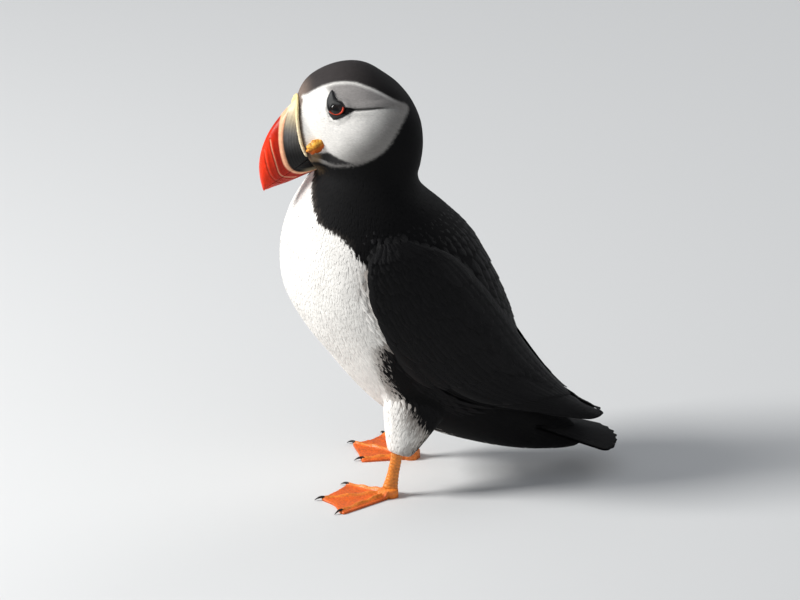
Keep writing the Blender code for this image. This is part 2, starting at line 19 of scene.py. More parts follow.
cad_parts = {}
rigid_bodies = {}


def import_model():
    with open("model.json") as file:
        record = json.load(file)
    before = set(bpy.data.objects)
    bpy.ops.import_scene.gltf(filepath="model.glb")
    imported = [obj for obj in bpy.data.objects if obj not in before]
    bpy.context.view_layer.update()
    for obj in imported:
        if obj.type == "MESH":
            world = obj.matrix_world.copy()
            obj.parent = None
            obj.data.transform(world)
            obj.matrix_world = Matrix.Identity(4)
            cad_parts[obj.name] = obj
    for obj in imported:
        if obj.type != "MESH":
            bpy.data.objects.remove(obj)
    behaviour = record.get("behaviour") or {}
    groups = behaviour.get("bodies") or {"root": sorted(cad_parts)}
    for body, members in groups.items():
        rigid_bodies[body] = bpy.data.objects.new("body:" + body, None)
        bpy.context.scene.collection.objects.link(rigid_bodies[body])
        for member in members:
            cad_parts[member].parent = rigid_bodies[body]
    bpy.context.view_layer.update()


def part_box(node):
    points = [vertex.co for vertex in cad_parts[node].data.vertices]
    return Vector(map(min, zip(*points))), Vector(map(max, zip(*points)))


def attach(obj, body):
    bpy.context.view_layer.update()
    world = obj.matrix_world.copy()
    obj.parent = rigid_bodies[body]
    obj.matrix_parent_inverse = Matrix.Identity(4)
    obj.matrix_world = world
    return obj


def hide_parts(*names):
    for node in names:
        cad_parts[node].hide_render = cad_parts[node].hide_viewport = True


bl_info = {
    "name": "Atlantic Puffin",
    "version": (1, 0, 0),
    "blender": (4, 5, 0),
    "location": "3D View > Sidebar > Puffin",
    "description": "Builds the skin, feathers, bill, eyes, feet and stage of a standing puffin",
    "category": "Object",
}

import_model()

MM = 0.001
TURN = 2 * math.pi
SIDES = ((1, "left"), (-1, "right"))
BAKE_PATCH = 0.003  # breadth of a tuft's or feather's patch on the bake map

# Slices from the crown to the vent: front or belly point and back point as (forward, up), half
# width, and how much narrower the front of the slice is than its back.
BODY_SLICES = (
    ((18.5, 206.8), (17.5, 206.8), 0.5, 0.00),  # 0 crown
    ((32.4, 203.6), (3.6, 201.0), 12.6, 0.10),
    ((40.0, 198.4), (-4.4, 194.4), 17.4, 0.10),
    ((43.6, 191.4), (-10.4, 186.2), 20.2, 0.12),  # 3 eye
    ((44.2, 183.4), (-14.2, 176.6), 21.6, 0.12),
    ((42.6, 173.8), (-15.2, 166.6), 21.8, 0.12),
    ((38.6, 165.0), (-14.2, 157.6), 21.6, 0.10),  # 6 gape
    ((35.4, 156.6), (-12.8, 150.6), 22.6, 0.06),  # 7 throat
    ((41.5, 146.4), (-16.2, 143.6), 27.0, 0.04),
    ((48.0, 132.6), (-26.6, 134.2), 34.0, -0.14),  # 9 shoulders
    ((51.6, 116.6), (-38.8, 121.0), 39.0, -0.14),
    ((50.2, 99.0), (-49.2, 101.0), 41.0, -0.14),  # 11 breast
    ((42.0, 82.0), (-56.2, 83.4), 40.0, -0.14),
    ((29.0, 64.4), (-60.6, 66.8), 36.0, -0.14),
    ((15.0, 47.0), (-63.6, 54.0), 30.0, -0.14),  # 14 belly
    ((0.0, 33.4), (-66.8, 43.6), 23.5, -0.14),
    ((-19.0, 23.6), (-71.8, 35.0), 18.0, -0.06),  # 16 vent
    ((-43.0, 15.2), (-78.4, 28.8), 13.0, 0.00),
    ((-70.0, 10.4), (-86.0, 22.8), 9.6, 0.00),
    ((-89.0, 10.8), (-92.4, 16.8), 4.6, 0.00),  # 19 end of the tail coverts
)
WING_FIRST = 9  # the wing form's stations carry the same numbers as the body's, from here on
WING_SLICES = (
    ((50.0, 133.0), (-28.4, 135.4), 36.0, -0.14),
    ((53.6, 117.0), (-41.0, 122.0), 41.8, -0.14),
    ((52.2, 99.2), (-51.6, 101.8), 44.0, -0.14),
    ((44.0, 82.0), (-58.8, 83.8), 43.0, -0.14),
    ((31.0, 64.4), (-65.0, 68.0), 39.0, -0.14),
    ((15.0, 48.0), (-71.0, 56.0), 33.0, -0.14),
    ((-6.0, 37.0), (-77.0, 47.0), 27.5, -0.10),
    ((-32.0, 30.0), (-83.4, 39.6), 20.5, -0.06),
    ((-60.0, 25.0), (-90.6, 33.4), 15.0, 0.00),
    ((-84.0, 23.0), (-98.0, 29.0), 10.5, 0.00),
    ((-99.0, 23.5), (-103.0, 26.5), 5.5, 0.00),
)
WING_EDGES = np.array((  # station, lower and upper edge of the folded wing in degrees
    (9.40, 87, 107), (9.80, 80, 120), (10.3, 77, 129), (11.0, 76, 138), (12.0, 76, 147),
    (13.0, 78, 155), (14.0, 82, 162), (15.0, 89, 166), (16.0, 98, 168), (17.0, 108, 168),
    (18.0, 122, 165), (18.6, 136, 158),
), float)
WING_THICK, WING_TIP_THICK = 8.0, 1.4
TAIL_ROOT, TAIL_TIP = (-50.0, 31.5), (-107.0, 11.4)
TAIL_ROOT_HALF, TAIL_TIP_HALF, TAIL_ROUNDING = 6.0, 18.5, 5.0
TAIL_THICK, TAIL_ARCH = 2.6, 2.2

BILL_SLICES = (  # ridge point, chin point, half width
    ((37.0, 192.0), (27.0, 160.0), 7.6),
    ((43.4, 190.8), (32.4, 156.4), 7.8),
    ((48.2, 186.2), (41.0, 152.8), 7.0),
    ((53.4, 180.2), (47.6, 150.2), 5.8),
    ((57.6, 173.8), (52.0, 148.8), 4.8),
    ((60.6, 166.2), (55.4, 147.8), 3.9),
    ((61.8, 159.0), (57.6, 147.0), 3.1),
    ((61.4, 152.4), (59.0, 146.6), 2.1),
    ((60.2, 147.0), (59.6, 146.0), 0.4),
)
GAPE_CORNER, BILL_TIP = np.array((37.0, 164.6)), np.array((60.0, 147.2))
RIM_PATH = (
    (41.4, 9.0, 164.8), (43.8, 8.9, 170.6), (45.2, 8.2, 178.0),
    (45.6, 6.6, 184.6), (45.0, 4.0, 189.2), (44.4, 0.0, 191.4),
)
RIM_RADIUS = 1.5
ROSETTE, ROSETTE_HALF, ROSETTE_SLOPE = (36.6, 12.8, 169.6), (4.8, 2.5, 3.2), 28.0
EYE_STATION, EYE_ANGLE, EYE_SUNK, EYE_RADIUS = 3.0, 64.0, 2.6, 4.4
# Outlines of the horny plates, as millimetres ahead of and above the eye's centre.
UPPER_PLATE = (
    (4.3, -0.6), (4.7, 1.4), (4.8, 4.0), (4.0, 6.6), (2.8, 8.9), (2.0, 8.6), (1.0, 6.4),
    (-0.4, 4.8), (-2.4, 3.8), (-4.2, 2.8), (-3.4, 1.4), (-0.6, 1.9), (2.0, 1.5), (3.0, -0.2),
)
LOWER_PLATE = (
    (3.9, -1.3), (3.3, -2.9), (1.6, -4.7), (0.8, -5.2), (-0.6, -4.7), (-3.4, -3.1), (-5.4, -1.7),
    (-4.6, -1.3), (-2.6, -2.2), (0.0, -2.7), (2.4, -2.2),
)

LID_RAISE, LID_SQUEEZE = 0.9, 0.88
HEEL = {"left": (4.5, 25.0), "right": (-14.0, -23.0)}
SPLAY = {"left": 0.0, "right": 42.0}
HOCK_BACK, HOCK_UP, HEEL_UP = 5.0, 29.0, 5.4
THIGH_TOP, THIGH_FOOT_UP = (-14.0, 17.0, 60.0), 21.0
THIGH_TOP_HALF, THIGH_FOOT_HALF = (22.0, 13.0), (5.2, 5.0)
TOES = (("inner", -42.0, 24.0), ("middle", 0.0, 32.5), ("outer", 34.0, 32.5))
WEB_SAG, HEEL_HALF = 0.10, 4.2
CLAW_LONG = 5.0

# Markings. The face disc's outline and the lines on it are (forward, up) places of a side view.
FACE_DISC = (
    (47.0, 188.0), (45.4, 191.6), (41.0, 193.9), (36.4, 198.1), (29.2, 201.2), (22.1, 201.9),
    (17.1, 201.1), (8.9, 197.6), (2.3, 193.2), (-4.4, 189.4), (-7.3, 187.0), (-5.3, 184.3),
    (-1.2, 179.7), (3.4, 172.7), (8.2, 168.1), (16.1, 163.9), (23.2, 162.0), (28.9, 161.1),
    (33.1, 161.3), (36.2, 163.1), (42.0, 161.0), (48.0, 172.0),
)
# Dark skin under the eye, in millimetres rearward and upward of its centre.
EYE_SHADOW = (
    (-1.4, -2.2), (-0.9, -4.4), (0.6, -4.5), (3.2, -3.6), (5.4, -2.4), (7.4, -1.1), (9.2, 0.3),
    (7.2, 1.0), (4.4, 1.6), (3.2, 1.0), (2.6, -1.2),
)
EYE_CREASE = ((23.6, 190.6), (19.1, 190.0), (9.6, 190.3), (2.7, 189.7), (-5.0, 187.6))
# Below the rosette: the cheek's own dark smudge, deepened to near black as painted shadow of the cheek's
# bulge.
CHEEK_SHADE = (
    (39.5, 166.4), (35.6, 166.6), (32.3, 168.7), (29.0, 166.9), (25.6, 165.0), (19.0, 163.6),
    (25.5, 162.4), (28.9, 162.0), (32.3, 162.7), (35.1, 163.9), (38.5, 164.6),
)
THIGH_EDGE = np.array((  # where the white of the thigh and the flank over it ends: (forward, up)
    (-6.8, 22.0), (-10.3, 26.3), (-13.3, 29.3), (-11.9, 32.0), (-7.6, 36.8), (-5.6, 41.7),
    (-3.0, 47.3), (1.0, 51.4), (4.9, 57.0), (9.2, 75.0),
))
# How far round the white of the breast and belly reaches, in degrees, by station; from station 16 back it
# is kept narrower than the bird's own, as painted shade on the under-rear.
BIB_EDGE = np.array((
    (7.0, -6), (7.2, 4), (7.45, 13), (7.8, 22), (8.25, 33), (8.6, 40), (8.8, 53), (9.0, 63),
    (9.4, 71), (9.7, 75), (11.9, 75), (12.1, 66), (12.7, 58), (13.5, 50), (14.2, 46), (14.8, 40),
    (15.4, 31), (16.2, 17), (17.2, 15), (18.0, 15), (19.0, 20),
), float)


def smooth_between(values, where):
    """Rows of a table at places between its equally spaced ones, on smooth curves through them."""
    values = np.asarray(values, float)
    last = len(values) - 1
    first = np.clip(np.floor(where).astype(int), 0, last - 1)
    t = (where - first)[:, None]
    padded = np.vstack([2 * values[0] - values[1], values, 2 * values[-1] - values[-2]])
    before, a, b, after = (padded[first + i] for i in range(4))
    return 0.5 * (
        2 * a + (b - before) * t + (2 * before - 5 * a + 4 * b - after) * t**2
        + (3 * a - before - 3 * b + after) * t**3
    )


class Form:
    """A lofted form through slices, as the body's or the wings'."""

    def __init__(self, slices, first=0):
        front, back = (np.array([s[i] for s in slices], float) for i in (0, 1))
        half = (front - back) / 2
        deep = np.linalg.norm(half, axis=1, keepdims=True)
        rest = np.array([(s[2] ** 2, s[3]) for s in slices])
        self.first = first
        self.last = first + len(slices) - 1
        self.table = np.hstack([(front + back) / 2, half / deep, deep**2, rest])

    def points(self, station, degrees, grow=0.0):
        """Bird points at stations and degrees, moved out by grow millimetres."""
        station, degrees, grow = np.broadcast_arrays(station, degrees, grow)
        row = smooth_between(self.table, station.ravel() - self.first)
        angle = np.radians(degrees.ravel())
        lean = row[:, 2:4] / np.linalg.norm(row[:, 2:4], axis=1, keepdims=True)
        deep, wide = (np.sqrt(np.maximum(row[:, i], 0.01)) + grow.ravel() for i in (4, 5))
        along = (deep * np.cos(angle))[:, None] * lean
        side = wide * np.sin(angle) * (1 - row[:, 6] * np.cos(angle))
        spot = np.stack([row[:, 0] + along[:, 0], side, row[:, 1] + along[:, 1]], 1)
        return spot.reshape(station.shape + (3,))


BODY = Form(BODY_SLICES)
WING = Form(WING_SLICES, WING_FIRST)


def unit(vectors):
    """Vectors made one long."""
    return vectors / np.maximum(np.linalg.norm(vectors, axis=-1, keepdims=True), 1e-9)


def turned(vectors):
    """Bird directions (forward, left, up) as scene ones."""
    vectors = np.asarray(vectors, float)
    return np.stack([vectors[..., 1], -vectors[..., 0], vectors[..., 2]], -1)


def turned_back(vectors):
    """Scene directions as bird ones."""
    return np.stack([-vectors[..., 1], vectors[..., 0], vectors[..., 2]], -1)


def eye_seat():
    """The left eye's place on the head and its outward, rearward and upward directions."""
    spot, rounder, lower = BODY.points(
        np.array([EYE_STATION, EYE_STATION, EYE_STATION + 0.1]),
        np.array([EYE_ANGLE, EYE_ANGLE + 3.0, EYE_ANGLE]),
    )
    out = unit(np.cross(rounder - spot, lower - spot))
    out = out if out[1] > 0 else -out
    up = unit(np.array((0, 0, 1.0)) - out * out[2])
    rear = np.array((-1.0, 0, 0))
    rear = unit(rear - out * rear.dot(out) - up * rear.dot(up))
    return spot, out, rear, up


EYE_SPOT, EYE_OUT, EYE_REAR, EYE_UP = eye_seat()


def stance():
    """Where the middle of the stance stands in the frame, found from the two eyes."""
    left, right = ((low + high) / 2 for low, high in (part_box("eye_left"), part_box("eye_right")))
    ball = EYE_SPOT - EYE_OUT * EYE_SUNK
    return np.array(((left.x + right.x) / 2, left.y + ball[0] * MM, 0.0))


STANCE = stance()


def place(points):
    """Bird points in millimetres as scene points in metres."""
    return turned(points) * MM + STANCE


def bird(points):
    """Scene points in metres as bird points in millimetres."""
    return turned_back((np.asarray(points, float) - STANCE) / MM)


def mirrored(points):
    """Bird points brought to the bird's left side."""
    forward, left, up = points.T
    return np.stack([forward, np.abs(left), up], 1)


def step(low, high, value):
    """0 below low, 1 above high, smooth between."""
    t = np.clip((value - low) / (high - low), 0, 1)
    return t * t * (3 - 2 * t)


def blend(a, b, share):
    """Colours between a and b: all a at a share of 0, all b at 1."""
    share = np.asarray(share)[..., None]
    return np.asarray(a, float) * (1 - share) + np.asarray(b, float) * share


def line_distance(points, line, closed=False):
    """How far 2-D points are from a line through corners."""
    line = np.asarray(line, float)
    ends = np.roll(line, -1, 0) if closed else line[1:]
    starts = line if closed else line[:-1]
    best = np.full(len(points), 1e9)
    for a, b in zip(starts, ends):
        run = b - a
        t = np.clip(((points - a) @ run) / max(run @ run, 1e-9), 0, 1)
        best = np.minimum(best, np.linalg.norm(points - a - t[:, None] * run, axis=1))
    return best


def depth_inside(points, outline):
    """How deep 2-D points lie in a closed outline: below zero outside it."""
    outline = np.asarray(outline, float)
    inside = np.zeros(len(points), bool)
    for a, b in zip(outline, np.roll(outline, -1, 0)):
        crosses = (a[1] > points[:, 1]) != (b[1] > points[:, 1])
        climb = b[1] - a[1] if b[1] != a[1] else 1e-9
        at = a[0] + (points[:, 1] - a[1]) * (b[0] - a[0]) / climb
        inside ^= crosses & (points[:, 0] < at)
    return line_distance(points, outline, closed=True) * np.where(inside, 1, -1)


def rounded(outline, times=3, closed=True):
    """An outline with its corners cut to a smooth curve."""
    line = np.asarray(outline, float)
    for _ in range(times):
        after = np.roll(line, -1, 0) if closed else line[1:]
        before = line if closed else line[:-1]
        cut = np.stack([before * 0.75 + after * 0.25, before * 0.25 + after * 0.75], 1)
        cut = cut.reshape(-1, 2)
        line = cut if closed else np.vstack([line[:1], cut, line[-1:]])
    return line


DISC_LINE = rounded(FACE_DISC)
RIM_LINE = np.array(RIM_PATH)[:, (0, 2)] - (0.6, 0)
CREASE_LINE = rounded(EYE_CREASE, closed=False)
SHADE_LINE = rounded(CHEEK_SHADE)


def markings(points, station, degrees, waver=0.0):
    """The plumage's colour at bird points on the body. waver moves the edges, in millimetres."""
    colours = bpy.context.scene.puffin_plumage
    side_view = points[:, (0, 2)]
    forward, left, up = points.T
    black, white = np.array(colours.black), np.array(colours.white)

    # Crown, brown with painted sheen at the front and black to the rear, pale brow over the bill, and bare
    # chin.
    crown_tone_and_sheen = step(184, 198, up) * step(5.0, 2.6, station) * (0.15 + 0.85 * step(0, 30, forward))
    shade = blend(black, colours.crown_tone_and_sheen, crown_tone_and_sheen)
    # The brow over the bill: partly its own paler feathers, partly painted highlight.
    brow_and_highlight = step(36, 46, forward) * step(184, 189, up)
    shade = blend(shade, colours.brow_and_highlight, 0.8 * brow_and_highlight)
    chin = np.linalg.norm((side_view - (37.0, 158.2)) / (4.6, 2.6), axis=1)
    shade = blend(shade, colours.gape, 0.45 * step(1.3, 0.4, chin + 0.3 * waver))

    # White of breast, belly and thigh front, with the smudged flank and the collar's edge.
    near = np.interp(station, BIB_EDGE[:, 0], BIB_EDGE[:, 1]) - np.abs(degrees)
    width = np.interp(station, range(len(BODY_SLICES)), [s[2] for s in BODY_SLICES])
    below = station > 11.8
    reach = near * np.radians(1) * width + waver * np.where(below, 2.2, 1.0)
    bib = step(-1, 1, reach / np.where(below, 1.6, 0.6)) * step(6.6, 7.0, station)
    before = forward - np.interp(up, THIGH_EDGE[:, 1], THIGH_EDGE[:, 0]) + 1.5 * waver
    over_thigh = step(-1.5, 1.5, before) * step(64, 58, up) * step(8, 11, np.abs(left))
    bib = np.maximum(bib, over_thigh * (station > 11))
    ragged = reach - 3 * waver
    smudge = np.interp(station, [12.0, 13.6], [7.5, 3.5])
    flank = step(smudge, 0.5, ragged) * step(9.3, 10.3, station) * step(15.5, 14.5, station)
    collar = step(-4.5, -1.0, ragged) * step(6.9, 7.4, station) * step(9.4, 8.4, station)
    shade = blend(shade, np.array(colours.flank) * 0.3, 0.55 * collar)
    shade = blend(shade, blend(white, colours.flank, 0.65 * flank), bib)

    # The face disc: white in front, grey above the crease and to the rear of the cheek, there darkened by
    # painted shade.
    inside = depth_inside(side_view, DISC_LINE) + 0.35 * waver
    face = step(-0.5, 0.5, inside) * step(3.6, 4.6, np.abs(left) + 0.1 * (46 - forward))
    crease_up = np.interp(forward, CREASE_LINE[::-1, 0], CREASE_LINE[::-1, 1])
    brow_edge = np.interp(up, [188, 196, 200], [24.0, 29.5, 33.0])
    above = step(-0.2, 0.7, up - crease_up) * step(1.5, -1.5, forward - brow_edge)
    plain = blend(white, colours.face_grey, above * step(0, 1.6, inside))
    # Painted shade: the rear and lower cheek is painted far darker than its own pale grey.
    slant = 0.66 * forward + 0.75 * up
    cheek = 1 - (1 - step(150, 136, slant)) * (1 - step(11, -4, forward))
    plain = blend(plain, colours.cheek_grey_and_shade, 0.92 * cheek)

    # Dark lines and patches on it: crease, skin under the eye, painted shadow over the smudge under the
    # cheek, gape, rim.
    crease = line_distance(side_view, CREASE_LINE) / np.interp(forward, [2, 24], [0.6, 1.1])
    plain = blend(plain, black * 2, 0.9 * step(0.9, 0.3, crease) * step(-1, 9, forward))
    off = mirrored(points) - EYE_SPOT
    beside = np.stack([off @ EYE_REAR, off @ EYE_UP], 1)
    under_eye = step(-0.35, 0.35, depth_inside(beside, EYE_SHADOW)) * (np.abs(off @ EYE_OUT) < 9)
    plain = blend(plain, black * 2, under_eye)
    # Painted shadow under the cheek's bulge, over its own dark smudge.
    dark = step(-0.7, 0.7, depth_inside(side_view, SHADE_LINE) + waver)
    plain = blend(plain, colours.cheek_smudge_and_shadow, 0.98 * dark)
    foot = step(2.2, 1.2, inside) * step(168, 163.5, up) * step(8, 17, forward)
    plain = blend(plain, np.array(colours.face_grey) * 0.5, 0.85 * foot * (1 - dark))
    gape = step(168.5, 166.5, up) * step(33.5, 36.5, forward)
    plain = blend(plain, colours.gape, 0.9 * gape)
    behind_rim = line_distance(side_view, RIM_LINE)
    plain = blend(plain, colours.rim_line, 0.85 * step(2.1, 1.5, behind_rim))
    return blend(shade, plain, face)


def leg_markings(points):
    """The thighs' colour: white in front, dark behind, and between them a brown band that is partly
    painted shade.
    """
    colours = bpy.context.scene.puffin_plumage
    edge = np.interp(points[:, 2], THIGH_EDGE[:, 1], THIGH_EDGE[:, 0])
    share = (THIGH_TOP[2] - points[:, 2]) / (THIGH_TOP[2] - THIGH_FOOT_UP)
    ahead = (HEEL["left"][0] - HEEL["right"][0]) * share.clip(0, 1) * (points[:, 1] < 0)
    before = points[:, 0] + ahead - edge
    # The brown band is partly the thigh's own brown, partly painted shade, wider low down.
    fade = np.interp(points[:, 2], [32, 50], [13.0, 5.0])
    brown = blend(np.array(colours.white), colours.flank, 0.8 * step(fade, 0, before))
    return blend(brown, np.array(colours.black) * 2, step(1.0, -1.5, before))


# ---------------------------------------------------------------- meshes and materials


def add_piece(name, points, faces, material, tidy=True):
    """A smooth object from scene points and faces. Tidy ones get their normals turned out."""
    mesh = bpy.data.meshes.new(name)
    points = np.asarray(points, np.float32).reshape(-1, 3)
    mesh.from_pydata(points, [], [tuple(f) for f in faces])
    mesh.update()
    if tidy:
        shape = bmesh.new()
        shape.from_mesh(mesh)
        bmesh.ops.recalc_face_normals(shape, faces=shape.faces)
        shape.to_mesh(mesh)
        shape.free()
    mesh.shade_smooth()
    if material:
        mesh.materials.append(material)
    return show(name, mesh)


def show(name, data):
    """A new object of the scene round its data."""
    made = bpy.data.objects.new(name, data)
    bpy.context.scene.collection.objects.link(made)
    return made


def settle(piece, slot, *nodes):
    """Sets a finished piece on the body and hides the nodes that it stands for. The slot is not used."""
    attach(piece, "root")
    if nodes:
        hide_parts(*nodes)
    return piece


def tube_faces(rings, sides):
    """Quads of an open tube, as places in its points taken ring by ring."""
    r, i = np.meshgrid(np.arange(rings - 1), np.arange(sides), indexing="ij")
    j = (i + 1) % sides
    quads = np.stack([r * sides + i, r * sides + j, (r + 1) * sides + j, (r + 1) * sides + i], -1)
    return quads.reshape(-1, 4).tolist()


def tube(rings):
    """Points and faces of a closed tube through rings (rows, sides, 3), ends fanned."""
    rings = np.asarray(rings, float)
    rows, sides = rings.shape[:2]
    points = rings.reshape(-1, 3)
    faces = tube_faces(rows, sides)
    for row, first in ((rings[0], 0), (rings[-1], (rows - 1) * sides)):
        faces += [(first + i, first + (i + 1) % sides, len(points)) for i in range(sides)]
        points = np.vstack([points, row.mean(0)])
    return points, faces


def tube_piece(name, rings, material, lay=place):
    """A closed tube as a piece, and its points as they were before lay set them in the scene."""
    points, faces = tube(rings)
    return add_piece(name, lay(points), faces, material), points


def swept(path, fore_half, side_half, sides, across):
    """Rings of an oval tube along bird points; across is the way that its side half looks."""
    path, across = np.asarray(path, float), np.asarray(across, float)
    run = unit(np.gradient(path, axis=0))
    side = unit(across - run * (run @ across)[:, None])
    fore = np.cross(run, side)
    angle = (np.arange(sides) / sides * TURN)[None, :, None]
    a, b = (np.broadcast_to(h, (len(path),))[:, None, None] for h in (fore_half, side_half))
    return path[:, None] + fore[:, None] * a * np.cos(angle) + side[:, None] * b * np.sin(angle)


def paint(piece, colours):
    """Stores a colour for each vertex as the attribute that the materials read."""
    mesh = piece.data
    if "tint" in mesh.attributes:
        mesh.attributes.remove(mesh.attributes["tint"])
    layer = mesh.attributes.new("tint", "FLOAT_COLOR", "POINT")
    rgba = np.ones((len(mesh.vertices), 4), np.float32)
    rgba[:, :3] = np.clip(colours, 0, 1)
    layer.data.foreach_set("color", rgba.ravel())


def evaluated_mesh(piece):
    """The plain mesh that a piece's modifiers make."""
    evaluated = piece.evaluated_get(bpy.context.evaluated_depsgraph_get())
    return bpy.data.meshes.new_from_object(evaluated)


def normals(mesh):
    """The outward directions at a mesh's points."""
    found = np.zeros(len(mesh.vertices) * 3, np.float32)
    mesh.vertex_normals.foreach_get("vector", found)
    return found.reshape(-1, 3).astype(float)


def coordinates(mesh):
    """The scene points of a mesh."""
    co = np.zeros(len(mesh.vertices) * 3, np.float32)
    mesh.vertices.foreach_get("co", co)
    return co.reshape(-1, 3).astype(float)


def vector_attribute(mesh, name, values=None, kind="FLOAT_VECTOR"):
    """Stores, or without values reads, one attribute of a mesh's vertices."""
    slot, size = ("vector", 3) if kind == "FLOAT_VECTOR" else ("value", 1)
    if values is not None:
        mesh.attributes.new(name, kind, "POINT").data.foreach_set(
            slot, np.asarray(values, np.float32).ravel()
        )
        return None
    read = np.zeros(len(mesh.vertices) * size, np.float32)
    mesh.attributes[name].data.foreach_get(slot, read)
    return read.reshape(-1, size).astype(float)


def strip_attributes(mesh, *keep):
    """Takes away what a finished mesh doesn't need."""
    for name in [a.name for a in mesh.attributes if not a.name.startswith(".")]:
        if name not in keep and not mesh.attributes[name].is_required:
            mesh.attributes.remove(mesh.attributes[name])


class Wiring:
    """A node tree under construction: each call adds a node and returns it or its output."""

    def node(self, kind, inputs=(), **settings):
        made = self.tree.nodes.new(kind)
        for key, value in settings.items():
            setattr(made, key, value)
        for key, value in dict(inputs).items():
            if isinstance(value, bpy.types.NodeSocket):
                self.tree.links.new(value, made.inputs[key])
            else:
                made.inputs[key].default_value = value
        return made

    def math(self, operation, *values):
        return self.node("ShaderNodeMath", dict(enumerate(values)), operation=operation).outputs[0]

    def vector_math(self, operation, inputs):
        return self.node("ShaderNodeVectorMath", inputs, operation=operation).outputs[0]


class Finish(Wiring):
    """A material under construction."""

    def __init__(self, name, roughness, **sockets):
        self.material = bpy.data.materials.new(name)
        self.material.use_nodes = True
        self.tree = self.material.node_tree
        self.shader = self.tree.nodes["Principled BSDF"]
        for socket, value in dict(sockets, Roughness=roughness).items():
            self.shader.inputs[socket.replace("_", " ")].default_value = value

    def tint(self):
        """The colour painted on the piece's vertices."""
        return self.node("ShaderNodeAttribute", attribute_name="tint").outputs["Color"]

    def space(self, stretch):
        """Places in the piece's own space."""
        space = self.node("ShaderNodeTexCoord").outputs["Object"]
        return self.node("ShaderNodeMapping", {"Vector": space, "Scale": stretch}).outputs[0]

    def grain(self, scale, detail=3.0):
        """Noise in the piece's own space; scale is in features per metre."""
        inputs = {"Vector": self.space((1, 1, 1)), "Scale": scale, "Detail": detail}
        return self.node("ShaderNodeTexNoise", inputs).outputs["Fac"]

    def cells(self, scale, stretch):
        """How far a place is from the middle of its cell, for scales of skin."""
        inputs = {"Vector": self.space(stretch), "Scale": scale}
        return self.node("ShaderNodeTexVoronoi", inputs).outputs["Distance"]

    def ranged(self, value, low, high, first=0.0, last=1.0):
        """A value from first to last spread out from low to high."""
        ends = {"From Min": first, "From Max": last, "To Min": low, "To Max": high}
        return self.node("ShaderNodeMapRange", {"Value": value, **ends}).outputs[0]

    def spread(self, noise, low, high):
        """Noise, which keeps near its middle, spread out from low to high."""
        return self.ranged(noise, low, high, 0.3, 0.7)

    def times(self, colour, value):
        """A colour made lighter or darker by a value round 1."""
        return self.vector_math("MULTIPLY", {0: colour, 1: value})

    def set(self, **sockets):
        for key, value in sockets.items():
            self.tree.links.new(value, self.shader.inputs[key.replace("_", " ")])

    def bump(self, height, distance, strength):
        inputs = {"Height": height, "Distance": distance, "Strength": strength}
        self.set(Normal=self.node("ShaderNodeBump", inputs).outputs["Normal"])


def plumage_finish(name, roughness, fleck, sheen):
    """Feather: its own tint, flecked, with a soft sheen."""
    made = Finish(name, roughness, Sheen_Weight=sheen, Sheen_Roughness=0.4, Specular_IOR_Level=0.1)
    flecks = made.spread(made.grain(1400.0, 4.0), 1 - fleck, 1 + fleck)
    clouds = made.spread(made.grain(60.0, 2.0), 0.92, 1.08)
    made.set(Base_Color=made.times(made.times(made.tint(), flecks), clouds))
    made.bump(made.grain(2600.0, 2.0), 0.00008, 0.3)
    return made.material


def vane_finish(name, gloss=0.12):
    """A large feather: barbs slanting off a shaft, read from the vane's own map, and painted sheen towards
    its edges.
    """
    made = Finish(name, 0.55, Specular_IOR_Level=gloss)
    vane = made.node("ShaderNodeUVMap", uv_map="Vane").outputs[0]
    parts = made.node("ShaderNodeSeparateXYZ", {0: vane}).outputs
    off = made.math("ABSOLUTE", parts["X"])
    slant = made.math("MULTIPLY_ADD", off, -2.2, parts["Y"])
    barbs = made.math("SINE", made.math("MULTIPLY", slant, 9.0))
    flecks = made.spread(made.grain(700.0, 4.0), 0.75, 1.25)
    # Painted sheen: the vane is painted lighter towards its edges.
    edge = made.ranged(off, 1.0, 1.3, 1.6, 3.6)
    made.set(Base_Color=made.times(made.times(made.tint(), flecks), edge))
    made.bump(barbs, 0.00006, 0.6)
    return made.material


def horn_finish(name, roughness, grain, depth):
    """Horn or bare skin: painted tint, fine mottling and relief."""
    made = Finish(name, roughness, Specular_IOR_Level=0.2)
    mottle = made.spread(made.grain(grain, 4.0), 0.86, 1.12)
    wear = made.spread(made.grain(grain * 0.2), roughness - 0.08, roughness + 0.12)
    made.set(Base_Color=made.times(made.tint(), mottle), Roughness=wear)
    made.bump(made.grain(grain * 1.3), depth, 0.6)
    return made.material


def scaled_finish(name, roughness):
    """The bare skin of the legs: small scales with pale edges."""
    made = Finish(name, roughness, Subsurface_Weight=0.08, Specular_IOR_Level=0.45,
                  Subsurface_Radius=(0.002, 0.0008, 0.0004))
    cells = made.cells(900.0, (1, 1, 1.3))
    scales = made.times(made.tint(), made.ranged(cells, 1.1, 0.72))
    made.set(Base_Color=made.times(scales, made.spread(made.grain(160.0), 0.85, 1.12)))
    made.bump(cells, -0.00025, 0.7)
    return made.material


def glass_finish(name):
    """The wet surface of the eye."""
    made = Finish(name, 0.09, Specular_IOR_Level=0.3, Coat_Weight=0.25, Coat_Roughness=0.02)
    made.set(Base_Color=made.tint())
    return made.material


# ---------------------------------------------------------------- tufts


# Blades one long and one wide, as rows of (along, half width, rise).
TUFTS = {
    "fine": ((0.0, 0.32, 0.60), (0.42, 0.5, 0.90), (1.0, 0.0, 1.0)),
    "soft": ((0.0, 0.28, 0.58), (0.35, 0.5, 0.85), (0.75, 0.38, 0.97), (1.0, 0.0, 1.0)),
}
TUFT_EDGE_RISE = 0.93  # how high a tuft's edges stand beside its middle
# Painted shade: tufts are painted darker at their roots, under the tufts that lie over them.
ROOT_SHADE = 0.05  # how much darker a tuft is at its root


